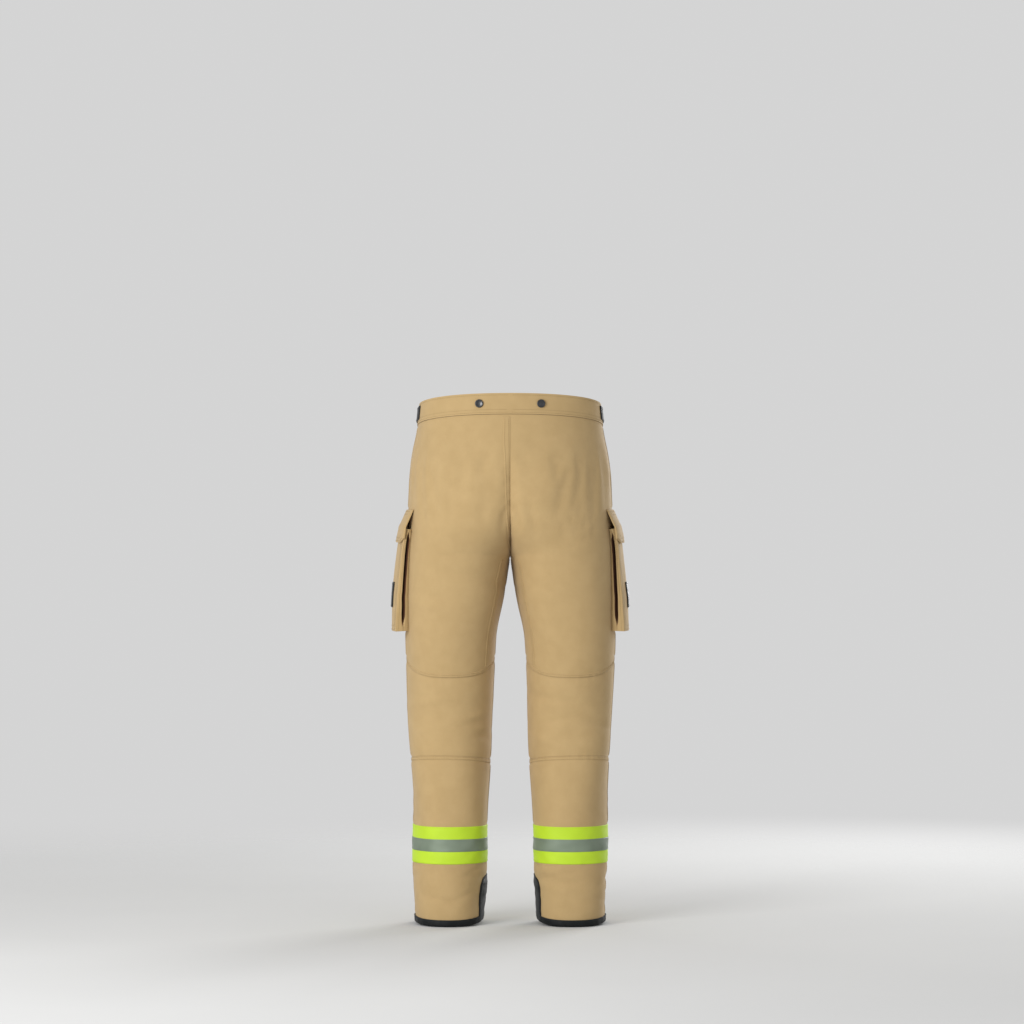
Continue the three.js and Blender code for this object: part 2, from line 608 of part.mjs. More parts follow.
// ---------------------------------------------------------------- knee, trim and hem
function kneeArmour(side, word) {
  const middle = HALF_TURN / 2;
  const angles = [middle - KNEE_PATCH_HALF_ANGLE, middle + KNEE_PATCH_HALF_ANGLE];
  const heights = [kneeLow + KNEE_PATCH_MARGIN, kneeHigh - KNEE_PATCH_MARGIN];
  const rim = KNEE_RIM / 95;
  const foamIn = [angles[0] + rim, angles[1] - rim];
  const foamHigh = [heights[0] + KNEE_RIM, heights[1] - KNEE_RIM];
  const foamOut = SEAT_GAP + KNEE_FOAM_THICK;
  const patchIn = foamOut + SEAT_GAP;
  const clear = 0.3;
  const foam = sheet(side, {
    angles: [foamIn[0] + clear / 95, foamIn[1] - clear / 95],
    heights: [foamHigh[0] + clear, foamHigh[1] - clear],
    inner: SEAT_GAP,
    outer: foamOut,
  });
  piece(`${word}_knee_foam`, sewnOn(side, solidOf(foam), heights), FOAM);
  const part = (a, h, inner) =>
    solidOf(sheet(side, { angles: a, heights: h, inner, outer: patchIn + KNEE_PATCH_THICK }));
  const patch = part(angles, heights, patchIn)
    .add(part([angles[0], foamIn[0]], heights, SEAT_GAP))
    .add(part([foamIn[1], angles[1]], heights, SEAT_GAP))
    .add(part(angles, [heights[0], foamHigh[0]], SEAT_GAP))
    .add(part(angles, [foamHigh[1], heights[1]], SEAT_GAP));
  piece(`${word}_knee_patch`, sewnOn(side, patch, heights), COATED_CLOTH);
}

function reflectiveTrim(side, word) {
  const base = sheet(side, {
    heights: [TAPE_LOW, TAPE_LOW + TAPE_TALL],
    inner: SEAT_GAP,
    outer: SEAT_GAP + TAPE_THICK,
  });
  piece(`${word}_trim_base`, base, FLUORESCENT);
  const silverLow = TAPE_LOW + (TAPE_TALL - SILVER_TALL) / 2;
  const silverIn = SEAT_GAP + TAPE_THICK + SEAT_GAP;
  const silver = sheet(side, {
    heights: [silverLow, silverLow + SILVER_TALL],
    inner: silverIn,
    outer: silverIn + SILVER_THICK,
  });
  piece(`${word}_trim_silver`, silver, SILVER);
}

function hem(side, word) {
  const outer = SEAT_GAP + BINDING_THICK;
  const inner = linerInner - SEAT_GAP - BINDING_THICK;
  const ring = (heights, from, to) => solidOf(sheet(side, { heights, inner: from, outer: to }));
  const binding = ring([0, BINDING_TALL], SEAT_GAP, outer)
    .add(ring([0, BINDING_THICK], inner, outer))
    .add(ring([0, BINDING_TALL], inner, inner + BINDING_THICK));
  piece(`${word}_hem_binding`, binding, COATED_CLOTH);

  // The kick guard is a half round above a rectangle, so its sides come in as it nears its top.
  const bend = GUARD_TOP - 28;
  const steps = [0, 0.45, 0.75, 0.93];
  const levels = steps.map((s) => bend + s * (GUARD_TOP - bend));
  const slab = (half, heights) =>
    solidOf(sheet(side, { angles: [-half, half], heights, inner: SEAT_GAP, outer: SEAT_GAP + GUARD_THICK }));
  let guard = slab(GUARD_HALF_ANGLE, [BINDING_TALL + CUT_GAP, bend]);
  steps.forEach((s, i) => {
    const half = GUARD_HALF_ANGLE * Math.sqrt(1 - s * s);
    const high = i + 1 < levels.length ? levels[i + 1] : GUARD_TOP;
    guard = guard.add(slab(half, [levels[i] - 0.5, high]));
  });
  piece(`${word}_ankle_guard`, guard, COATED_CLOTH);
}

// ---------------------------------------------------------------- assembly
for (const [side, word] of [
  [1, "left"],
  [-1, "right"],
]) {
  legPanels(side, word);
  legLiner(side, word);
  cargoPocket(side, word);
  kneeArmour(side, word);
  reflectiveTrim(side, word);
  hem(side, word);
  waistTab(side, word);
  braceButton(`${word}_front_brace_button`, side * FRONT_BUTTON_X, true);
  braceButton(`${word}_back_brace_button`, side * BACK_BUTTON_X, false);
}
seatLiner();
waistband();
fly();

export default trousers;
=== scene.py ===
import math

import bpy
import numpy as np
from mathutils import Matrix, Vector


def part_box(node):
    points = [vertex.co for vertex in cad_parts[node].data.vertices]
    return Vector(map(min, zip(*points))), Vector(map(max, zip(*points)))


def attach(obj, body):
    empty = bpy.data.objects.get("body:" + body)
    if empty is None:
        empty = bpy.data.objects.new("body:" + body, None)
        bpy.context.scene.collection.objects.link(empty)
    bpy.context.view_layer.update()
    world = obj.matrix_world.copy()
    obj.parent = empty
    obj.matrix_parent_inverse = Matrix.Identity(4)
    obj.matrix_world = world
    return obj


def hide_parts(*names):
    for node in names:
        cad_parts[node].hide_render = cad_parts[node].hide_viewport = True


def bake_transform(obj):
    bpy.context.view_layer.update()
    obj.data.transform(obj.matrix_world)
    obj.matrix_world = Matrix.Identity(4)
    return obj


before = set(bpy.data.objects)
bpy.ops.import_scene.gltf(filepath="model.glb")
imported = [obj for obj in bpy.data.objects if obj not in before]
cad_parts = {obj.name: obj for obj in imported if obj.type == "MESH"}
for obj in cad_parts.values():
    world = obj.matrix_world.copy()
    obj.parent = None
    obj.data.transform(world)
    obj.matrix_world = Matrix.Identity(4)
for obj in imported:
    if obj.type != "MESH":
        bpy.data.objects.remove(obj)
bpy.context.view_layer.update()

# Lengths below are in millimetres and heights are counted up from the hem. to_frame() turns them
# into metres in the frame. The wearer faces -Y and the wearer's left leg is on the +X side.
MM = 0.001
HEM_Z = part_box("left_hem_binding")[0][2]
SIDES = (("left", 1), ("right", -1))


def node_box(node):
    """A node's lowest and highest corners at rest, in mm from the hem."""
    return [(np.array(corner) - np.array([0, 0, HEM_Z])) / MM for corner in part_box(node)]


def node_heights(node):
    low, high = node_box(node)
    return low[2], high[2]


def to_frame(points):
    points = np.asarray(points, float)
    return points * MM + np.array([0, 0, HEM_Z])


# ---------------------------------------------------------------- camera, light and floor
CAMERA_DISTANCE = 8.1
CAMERA_ABOVE_HEM = 0.833
CAMERA_ASIDE = -0.0037
CAMERA_LENS = 140.3
# Each light's name, place and size in metres, and watts. The last two light the wearer's front.
LIGHTS = (
    ("key_light", (1.9, 2.6, 0.2), 1.5, 80),
    ("fill_light", (-2.6, 5.4, 0.5), 2.6, 10),
    ("front_light", (-1.75, -2.9, 0.2), 1.5, 76),
    ("front_fill", (2.6, -5.4, 0.4), 2.6, 30),
)
ROOM_LIGHT = 0.66
FLOOR_HALF = 3.2
FADE_FROM, FADE_TO = 0.7, 3.1  # how far out, in metres, the floor's paint starts and ends its fading


def make_camera():
    camera = bpy.data.objects.new("camera", bpy.data.cameras.new("camera"))
    camera.data.lens = CAMERA_LENS
    camera.data.sensor_width = 36
    camera.location = (CAMERA_ASIDE, CAMERA_DISTANCE, HEM_Z + CAMERA_ABOVE_HEM)
    camera.rotation_euler = (math.radians(90), 0, math.radians(180))
    bpy.context.collection.objects.link(camera)
    bpy.context.scene.camera = camera


def make_light(name, place, size, watts):
    light = bpy.data.lights.new(name, "AREA")
    light.size = size
    light.energy = watts
    lamp = bpy.data.objects.new(name, light)
    lamp.location = place
    aim = Vector((0, 0, HEM_Z / 2)) - Vector(place)
    lamp.rotation_euler = aim.to_track_quat("-Z", "Y").to_euler()
    bpy.context.collection.objects.link(lamp)


def make_studio():
    for light in LIGHTS:
        make_light(*light)
    world = bpy.data.worlds.new("studio")
    world.use_nodes = True
    background = world.node_tree.nodes["Background"]
    background.inputs["Color"].default_value = (1, 1, 1, 1)
    background.inputs["Strength"].default_value = ROOM_LIGHT
    bpy.context.scene.world = world
    bpy.context.scene.view_settings.view_transform = "Standard"
    mesh = bpy.data.meshes.new("floor")
    corners = [(x * FLOOR_HALF, y * FLOOR_HALF, 0) for x, y in ((-1, -1), (1, -1), (1, 1), (-1, 1))]
    mesh.from_pydata(corners, [], [(0, 1, 2, 3)])
    floor = bpy.data.objects.new("floor", mesh)
    floor.location.z = HEM_Z
    bpy.context.collection.objects.link(floor)
    mesh.materials.append(painted_floor())


# ---------------------------------------------------------------- materials
WAVE_REPEAT = math.pi / 10  # a wave texture of scale 1 repeats after this distance
SLANT = (0, 0, math.radians(45))


def linear(code):
    channels = [int(code[i : i + 2], 16) / 255 for i in (1, 3, 5)]
    return [c / 12.92 if c <= 0.04045 else ((c + 0.055) / 1.055) ** 2.4 for c in channels] + [1]


def add(tree, kind, inputs=None, **settings):
    """Adds a node with its settings; an input is a value or the socket that feeds it."""
    node = tree.nodes.new(kind)
    for name, value in settings.items():
        setattr(node, name, value)
    for name, value in (inputs or {}).items():
        if isinstance(value, bpy.types.NodeSocket):
            tree.links.new(value, node.inputs[name])
        else:
            node.inputs[name].default_value = value
    return node


def start(name, **surface):
    """A new material with its shader's sockets set; a socket's name has _ for each space."""
    material = bpy.data.materials.new(name)
    material.use_nodes = True
    tree = material.node_tree
    shader = tree.nodes["Principled BSDF"]
    for socket, value in surface.items():
        shader.inputs[socket.replace("_", " ")].default_value = value
    return material, tree, shader


def mottled(tree, vector, size_mm, low, high, detail=3):
    """Two colours mixed in soft patches of about the given size."""
    noise = add(tree, "ShaderNodeTexNoise", {"Vector": vector, "Scale": 1000 / size_mm, "Detail": detail})
    ramp = add(tree, "ShaderNodeValToRGB", {"Fac": noise.outputs["Fac"]})
    for element, position, colour in zip(ramp.color_ramp.elements, (0.32, 0.68), (low, high)):
        element.position = position
        element.color = linear(colour)
    return ramp.outputs["Color"]


def crossed_threads(tree, vector, pitch_mm):
    """Height of a plain weave: threads at this pitch each way."""
    lines = {"Vector": vector, "Scale": WAVE_REPEAT / (pitch_mm * MM)}
    warp, weft = (add(tree, "ShaderNodeTexWave", lines, bands_direction=way) for way in ("X", "Y"))
    both = {0: warp.outputs["Fac"], 1: weft.outputs["Fac"]}
    return add(tree, "ShaderNodeMath", both, operation="MULTIPLY").outputs[0]


def painted_thread_shade(tree, colour, threads, hollow, crown):
    """Painted shade and highlight: a colour made darker in the hollows between threads, where shade falls,
    and lighter on their crowns, where light falls.
    """
    limits = {"Value": threads, "To Min": hollow, "To Max": crown}
    shade = add(tree, "ShaderNodeMapRange", limits).outputs["Result"]
    tone = add(tree, "ShaderNodeVectorMath", {0: colour, 1: shade}, operation="MULTIPLY")
    return tone.outputs["Vector"]


def dress(tree, shader, colour, height, depth_mm):
    """Gives a surface its colour, and a relief of this height and depth."""
    tree.links.new(colour, shader.inputs["Base Color"])
    relief = add(tree, "ShaderNodeBump", {"Height": height, "Distance": depth_mm * MM, "Strength": 1.0})
    tree.links.new(relief.outputs["Normal"], shader.inputs["Normal"])


def painted_floor():
    """Matt studio paint: no gloss, so it shows only a soft shadow, and it fades out before its far edge."""
    material, tree, shader = start("painted_floor", Roughness=0.95, Specular_IOR_Level=0.1)
    place = add(tree, "ShaderNodeTexCoord").outputs["Object"]
    tree.links.new(mottled(tree, place, 900, "#C8C8C7", "#CBCBCA"), shader.inputs["Base Color"])
    away = add(tree, "ShaderNodeVectorMath", {0: place}, operation="LENGTH").outputs["Value"]
    limits = {"Value": away, "From Min": FADE_FROM, "From Max": FADE_TO, "To Min": 1.0, "To Max": 0.0}
    faded = add(tree, "ShaderNodeMapRange", limits, interpolation_type="SMOOTHSTEP")
    tree.links.new(faded.outputs["Result"], shader.inputs["Alpha"])
    return material


def woven_cloth(name, low, high, pitch_mm, depth_mm, roughness, sheen):
    """A matt cloth: yarn colour in patches, a thread relief and a little sheen off the loose fibres."""
    material, tree, shader = start(name, Roughness=roughness, Sheen_Weight=sheen, Sheen_Roughness=0.5)
    cloth = add(tree, "ShaderNodeUVMap").outputs["UV"]
    place = add(tree, "ShaderNodeTexCoord").outputs["Object"]
    threads = crossed_threads(tree, cloth, pitch_mm)
    # The yarn colour carries painted shade between the threads and a painted highlight on their crowns.
    colour = painted_thread_shade(tree, mottled(tree, place, 26, low, high, detail=6), threads, 0.9, 1.06)
    slub = add(tree, "ShaderNodeTexNoise", {"Vector": cloth, "Scale": 1000 / 3, "Detail": 2})
    height = add(tree, "ShaderNodeMath", {0: threads, 1: slub.outputs["Fac"]}, operation="ADD")
    dress(tree, shader, colour, height.outputs[0], depth_mm)
    return material


def aramid_shell():
    """Tan aramid shell, plain woven: matt, with a slight mix of yarn tones.

    Its 0.5 mm yarns are drawn at 0.9 mm, so that they show close up.
    """
    return woven_cloth("aramid_shell_cloth", "#B19566", "#B69A6B", 0.9, 0.12, 0.86, 0.1)


def painted_pleat_shadow():
    """Painted shadow: the same aramid as it looks deep in a pleat, where little light reaches, coloured
    dark brown.
    """
    return woven_cloth("aramid_with_painted_pleat_shadow", "#4A2509", "#55300F", 0.9, 0.12, 0.9, 0.02)


def thread_darkened_as_seam_shade():
    """Spun aramid sewing thread, painted darker and browner than the cloth so that it carries the shade
    along the seams and each row of stitches reads.
    """
    # The thread's own colour, darkened further as painted seam shade.
    return woven_cloth("spun_thread_with_painted_seam_shade", "#7E663C", "#8C7347", 0.8, 0.1, 0.8, 0.05)


def black_thread():
    """Spun black thread on the coated pieces, more matt than they are."""
    return woven_cloth("spun_black_thread", "#101112", "#18191A", 0.8, 0.1, 0.8, 0.05)


def black_webbing():
    """Woven black tape, ribbed across by its thick weft."""
    return woven_cloth("woven_black_tape", "#121314", "#1A1B1D", 1.8, 0.3, 0.78, 0.06)


def quilted_liner():
    """Quilted thermal liner with a dark face cloth: batting held down along diamond lines, 32 mm apart."""
    material, tree, shader = start("quilted_liner_cloth", Roughness=0.86, Sheen_Weight=0.2)
    cloth = add(tree, "ShaderNodeUVMap").outputs["UV"]
    slanted = add(tree, "ShaderNodeMapping", {"Vector": cloth, "Rotation": SLANT}).outputs[0]
    colour = mottled(tree, cloth, 40, "#30353A", "#3C4248")
    dress(tree, shader, colour, crossed_threads(tree, slanted, 32), 2.2)
    return material


def coated_aramid():
    """Aramid under a black polymer coat, embossed like leather: low gloss, with a fine creased grain."""
    material, tree, shader = start("polymer_coated_aramid", Roughness=0.5, Specular_IOR_Level=0.2)
    place = add(tree, "ShaderNodeTexCoord").outputs["Object"]
    colour = mottled(tree, place, 30, "#0A0C0D", "#111415")
    proud = add(tree, "ShaderNodeNewGeometry").outputs["Pointiness"]
    edge = add(tree, "ShaderNodeMapRange", {"Value": proud, "From Min": 0.52, "From Max": 0.62})
    paler = {"Factor": edge.outputs["Result"], "A": colour, "B": linear("#1E2224")}
    rubbed = add(tree, "ShaderNodeMix", paler, data_type="RGBA").outputs["Result"]
    cells = {"Vector": place, "Scale": 1000 / 2.4}
    grain = add(tree, "ShaderNodeTexVoronoi", cells, feature="DISTANCE_TO_EDGE").outputs["Distance"]
    crease = add(tree, "ShaderNodeTexNoise", {"Vector": place, "Scale": 1000 / 14, "Detail": 5})
    height = add(tree, "ShaderNodeMath", {0: grain, 1: crease.outputs["Fac"]}, operation="ADD")
    dress(tree, shader, rubbed, height.outputs[0], 0.5)
    return material


def fluorescent_trim():
    """Fluorescent lime warp knit. The dye fluoresces, and that is painted on as a faint emission, though
    the knit is no lamp.
    """
    # Painted glow: a faint emission in the lime colour.
    glow = {"Emission_Color": linear("#C4E62A"), "Emission_Strength": 0.05}
    material, tree, shader = start("fluorescent_lime_knit", Roughness=0.66, **glow)
    cloth = add(tree, "ShaderNodeUVMap").outputs["UV"]
    colour = mottled(tree, cloth, 60, "#A8C71C", "#AFCE22")
    dress(tree, shader, colour, crossed_threads(tree, cloth, 1.4), 0.12)
    return material


def silver_trim():
    """Glass beads on aluminised cloth: grey with a green cast, in a fine slanting hatch."""
    material, tree, shader = start("glass_bead_silver_cloth", Roughness=0.55, Metallic=0.2)
    cloth = add(tree, "ShaderNodeUVMap").outputs["UV"]
    slanted = add(tree, "ShaderNodeMapping", {"Vector": cloth, "Rotation": SLANT}).outputs[0]
    hatch = crossed_threads(tree, slanted, 3.2)
    # The hatch also carries painted shade in its hollows and a painted highlight on its crowns.
    colour = painted_thread_shade(tree, mottled(tree, cloth, 45, "#6F7C6A", "#7F8C7A"), hatch, 0.86, 1.1)
    dress(tree, shader, colour, hatch, 0.2)
    return material


def closed_cell_foam():
    """Closed cell foam pad, grey and pitted with burst bubbles."""
    material, tree, shader = start("closed_cell_foam", Roughness=0.92)
    place = add(tree, "ShaderNodeTexCoord").outputs["Object"]
    cells = add(tree, "ShaderNodeTexVoronoi", {"Vector": place, "Scale": 1000 / 1.5})
    colour = mottled(tree, place, 8, "#4A4D50", "#5D6063")
    dress(tree, shader, colour, cells.outputs["Distance"], 0.4)
    return material


def antique_brass():
    """Plated brass, tumbled: a metal with soft scratches and darker hollows."""
    material, tree, shader = start("tumbled_plated_brass", Metallic=1.0, Roughness=0.36)
    place = add(tree, "ShaderNodeTexCoord").outputs["Object"]
    scratch = add(tree, "ShaderNodeTexNoise", {"Vector": place, "Scale": 1000 / 0.8, "Detail": 3})
    colour = mottled(tree, place, 5, "#8A7C5E", "#B5A67F")
    dress(tree, shader, colour, scratch.outputs["Fac"], 0.03)
    return material


def button_resin():
    """Moulded black resin, polished in a barrel."""
    material, tree, shader = start("barrel_polished_resin", Roughness=0.28, Coat_Weight=0.2)
    place = add(tree, "ShaderNodeTexCoord").outputs["Object"]
    flow = add(tree, "ShaderNodeTexNoise", {"Vector": place, "Scale": 1000 / 4, "Detail": 2})
    dress(tree, shader, mottled(tree, place, 6, "#15171A", "#22252A"), flow.outputs["Fac"], 0.04)
    return material


# ---------------------------------------------------------------- the shape of the cloth
CROTCH = 745
# About how far it is round one leg and across it, in mm, for choosing how finely to divide a piece.
ROUND_LEG = 560
NEAR_RADIUS = 90
WAIST = 1008  # lower edge of the waistband, at mid depth
BAND_TALL = 42
WAIST_SLOPE = 0.16
SQUARENESS = 2.2
SHELL = 2.4
LINER_OUT = -2.9
LINER_IN = -6.8
# Height, outermost x, innermost x, depth forward, depth back, middle's y: the same stations as the CAD.
STATIONS = np.array(
    [
        (0, 192, 55, 84, 86, 10),
        (126, 193.5, 49.5, 84, 89, 8),
        (201, 195, 48, 86, 91, 6),
        (325, 200, 43.5, 92, 92, 0),
        (427, 204, 40, 97, 92, -5),
        (513, 208, 37.5, 101, 98, -4),
        (580, 210.5, 34, 107, 106, -2),
        (661, 211, 17, 113, 116, 0),
        (745, 209, 1.5, 118, 130, 0),
        (825, 207, -72, 120, 147, 0),
        (920, 201, -150, 120, 146, 0),
        (1000, 188, -185, 120, 132, 0),
        (1110, 178, -178, 120, 126, 0),
    ],
    float,
)
TOP_ROW = 1084  # the skin reaches this high, in rows 4 mm apart
ROW = 4
ROWS = TOP_ROW // ROW + 1
TURNS = 160


def stations_at(height):
    """Smooth station values at each height, by a monotone cubic through the stations."""
    at = STATIONS[:, 0]
    values = STATIONS[:, 1:]
    slope = np.diff(values, axis=0) / np.diff(at)[:, None]
    tangent = np.vstack([slope[:1], np.zeros_like(slope[1:]), slope[-1:]])
    product = slope[:-1] * slope[1:]
    total = slope[:-1] + slope[1:]
    tangent[1:-1] = np.where(product > 0, 2 * product / np.where(total == 0, 1, total), 0)
    height = np.clip(height, at[0], at[-1])
    i = np.clip(np.searchsorted(at, height, side="right") - 1, 0, len(at) - 2)
    span = (at[i + 1] - at[i])[..., None]
    u = ((height - at[i])[..., None]) / span
    a, b = tangent[i] * span, tangent[i + 1] * span
    rise = values[i + 1] - values[i]
    found = values[i] + u * (a + u * (3 * rise - 2 * a - b + u * (a + b - 2 * rise)))
    return np.moveaxis(found, -1, 0)


def centre_angle(height):
    """Where the leg's section meets the middle plane; nothing below the crotch."""
    out, into, *_ = stations_at(height)
    share = (out + into) / np.maximum(out - into, 1)
    crossing = np.arccos(np.clip(share, -1, 1) ** (SQUARENESS / 2))
    return np.where(into < 0, crossing, 0)


def turn_of(angle, height):
    """The cloth coordinate, 0 to 1 round the leg from its inside by its front, at an angle."""
    return 0.5 + (angle - math.pi) / (2 * (math.pi - centre_angle(height)))


def form(turn, height):
    """The plain form under the cloth, in mm, for the left leg."""
    out, into, front, back, middle = stations_at(height)
    angle = math.pi + (2 * turn - 1) * (math.pi - centre_angle(height))
    c, s = np.cos(angle), np.sin(angle)

    def squared(v):
        return np.sign(v) * np.abs(v) ** (2 / SQUARENESS)

    x = (out + into) / 2 - (out - into) / 2 * squared(c)
    y = middle - np.where(s > 0, front, back) * squared(s)
    return np.stack([np.maximum(x, 0), y, height + 0 * x], -1)


def smooth(value, low, high):
    u = np.clip((value - low) / (high - low), 0, 1)
    return u * u * (3 - 2 * u)


def knee_seam_high(turn):
    """The seam above the knee dips in the middle of the leg's back and front and rises at its sides."""
    part = np.abs((2 * turn) % 1 * 2 - 1)
    return np.where(turn >= 0.5, 500, 512) + np.where(turn >= 0.5, 33, 21) * part**2.3


def knee_seam_low(turn):
    """The seam below the knee is arched, and drops towards the inside of the leg."""
    part = (2 * turn) % 1
    inward = np.where(turn >= 0.5, part, 1 - part)
    return 336 + 9 * np.sin(math.pi * part) - 5 * inward**2


def hem_lift(turn, height):
    """The hem rises at the sides of the leg, most on its inside, and the cloth near it follows."""
    part = np.abs((2 * turn) % 1 * 2 - 1)
    inside = (turn < 0.25) | (turn > 0.75)
    return np.where(inside, 12.0, 6.5) * part**2.2 * (1 - smooth(height, 0, 80))


LONG_FOLDS = 9
SHORT_CREASES = 26
CUFF_CREASES = 10
SEEDS = {1: 7, -1: 19}  # of the left leg's folds and the right leg's


def folds(side, turn, height):
    """Soft folds, in mm out from the form: long ones down the leg, short ones where the cloth bends."""
    random = np.random.default_rng(SEEDS[side])
    out = np.zeros(np.broadcast(turn, height).shape)
    for _ in range(LONG_FOLDS):
        round_leg = random.integers(1, 5)
        tall = random.uniform(140, 420)
        lean, phase = random.uniform(0, 2 * math.pi, 2)
        out += 0.5 * np.sin(2 * math.pi * round_leg * turn + 2 * math.pi * height / tall + lean + phase)
    for _ in range(SHORT_CREASES):  # short creases: behind the knee, above the cuff and round the hip
        where = random.integers(0, 3)
        at_height = (random.uniform(370, 470), random.uniform(28, 105), random.uniform(640, 800))[where]
        at_turn = (random.uniform(0.6, 0.95), random.uniform(0, 1), random.uniform(0.05, 0.95))[where]
        slant = random.uniform(-70, 70)
        reach = random.uniform(0.06, 0.13)
        away = (turn - at_turn + 0.5) % 1 - 0.5
        across = height - at_height - slant * away * 2
        deep, wide = random.uniform(-2.5, 2.5), random.uniform(7, 13)
        out += deep * np.exp(-((away / reach) ** 2) - (across / wide) ** 2)
    for _ in range(CUFF_CREASES):  # sharp slanting creases where the cuff has been folded
        at_height, at_turn = random.uniform(30, 112), random.uniform(0.05, 0.97)
        slant = random.uniform(60, 190) * random.choice([-1, 1])
        away = (turn - at_turn + 0.5) % 1 - 0.5
        across = height - at_height - slant * away
        out += random.uniform(-1.9, -1.0) * np.exp(-((away / 0.075) ** 2) - (across / 4.5) ** 2)
    for seam in (knee_seam_high(turn), knee_seam_low(turn)):  # a seam draws the cloth in and puckers it
        off = height - seam
        pucker = np.sin(turn * 2 * math.pi * 42 + 3 * np.sin(turn * 31))
        out += -1.3 * np.exp(-((off / 8) ** 2)) + 0.45 * pucker * np.exp(-((off / 13) ** 2))
    near_centre = np.where(height > CROTCH - 60, smooth(np.minimum(turn, 1 - turn), 0, 0.08), 1)
    return out * near_centre * smooth(height, 4, 40) * (1 - smooth(height, 960, 1000))


# The simulation's grid is coarser than the skin's.
DRAPE_ROW = 12
DRAPE_TURNS = 72
DRAPE_FRAMES = 22
DRAPE_CAP = 6  # how far the simulated cloth may lie from the form, in mm
CUT_LARGER = 0.03  # the share by which the cloth is larger than the form under it


def drape():
    """Hangs both legs' cloth, cut a little larger than the form, and returns how far each point moves."""
    heights = np.arange(0, TOP_ROW + DRAPE_ROW, DRAPE_ROW, float)
    turns = np.linspace(0, 1, DRAPE_TURNS + 1)
    grid_turn, grid_height = np.meshgrid(turns, heights)
    left = form(grid_turn, grid_height)
    both = np.stack([left, left * [-1, 1, 1]])
    flat = both.reshape(-1, 3)
    _, first, shared = np.unique(np.round(flat, 2), axis=0, return_index=True, return_inverse=True)
    shared = shared.reshape(both.shape[:3])
    faces = []
    for s in range(2):
        a, b = shared[s, :-1, :-1], shared[s, :-1, 1:]
        c, d = shared[s, 1:, 1:], shared[s, 1:, :-1]
        order = (a, b, c, d) if s == 0 else (d, c, b, a)
        faces += [q for q in np.stack(order, -1).reshape(-1, 4).tolist() if len(set(q)) == 4]
    rest = flat[first]

    def cloth_object(name, points):
        mesh = bpy.data.meshes.new(name)
        mesh.from_pydata(to_frame(points).tolist(), [], faces)
        made = bpy.data.objects.new(name, mesh)
        bpy.context.collection.objects.link(made)
        return made

    cloth = cloth_object("drape_cloth", rest)
    held = cloth.vertex_groups.new(name="held")
    top = WAIST + WAIST_SLOPE * rest[:, 1] - 14
    centre = (np.abs(rest[:, 0]) < 0.5) & (rest[:, 2] > CROTCH)
    pinned = (rest[:, 2] > top) | (rest[:, 2] < DRAPE_ROW + 1) | centre
    held.add(np.nonzero(pinned)[0].tolist(), 1.0, "REPLACE")
    normals = np.array([v.normal for v in cloth.data.vertices])
    inward = rest - 2.0 * normals * np.sign((normals * (rest - rest.mean(0))).sum(1).mean())
    body = cloth_object("drape_body", inward)
    solid = body.modifiers.new("solid", "COLLISION")
    solid.id_data.collision.thickness_outer = 0.0006
    cloth_modifier = cloth.modifiers.new("cloth", "CLOTH")
    settings = cloth_modifier.settings
    settings.quality = 6
    settings.mass = 0.25
    settings.tension_stiffness = settings.compression_stiffness = 18
    settings.shear_stiffness = 8
    settings.bending_stiffness = 2.5
    settings.vertex_group_mass = "held"
    settings.shrink_min = -CUT_LARGER
    settings.effector_weights.gravity = 0.5
    cloth_modifier.collision_settings.distance_min = 0.001
    cloth_modifier.point_cache.frame_start = 1
    cloth_modifier.point_cache.frame_end = DRAPE_FRAMES
    scene = bpy.context.scene
    for number in range(1, DRAPE_FRAMES + 1):
        scene.frame_set(number)
    lying = cloth.evaluated_get(bpy.context.evaluated_depsgraph_get())
    hung = np.array([v.co for v in lying.data.vertices])
    hung = (hung - np.array([0, 0, HEM_Z])) / MM
    scene.frame_set(1)
    for made in (cloth, body):
        bpy.data.objects.remove(made)
    moved = hung - rest
    length = np.linalg.norm(moved, axis=1, keepdims=True)
    moved *= np.minimum(1, DRAPE_CAP / np.maximum(length, 1e-6))
    return moved[shared], heights


def between(grid, row, column):
    """Values of a grid at fractional rows and columns."""
    row = np.clip(row, 0, grid.shape[0] - 1.001)
    column = np.clip(column, 0, grid.shape[1] - 1.001)
    r, c = row.astype(int), column.astype(int)
    u, v = (row - r)[..., None], (column - c)[..., None]
    low = grid[r, c] * (1 - v) + grid[r, c + 1] * v
    high = grid[r + 1, c] * (1 - v) + grid[r + 1, c + 1] * v
    return low * (1 - u) + high * u


CUFF_HOLD = (14, 90)  # heights between which the cuff lets the cloth go, and the waist takes hold of it
WAIST_HOLD = (900, 985)
LID_TURN, LID_HEIGHT = 0.455, 838


def pocket_hold(turn, height):
    """1 where the sewn-on pocket flap holds the cloth to the form, falling to 0 around it."""
    return np.exp(-(((turn - LID_TURN) / 0.19) ** 4) - ((height - LID_HEIGHT) / 55) ** 4)


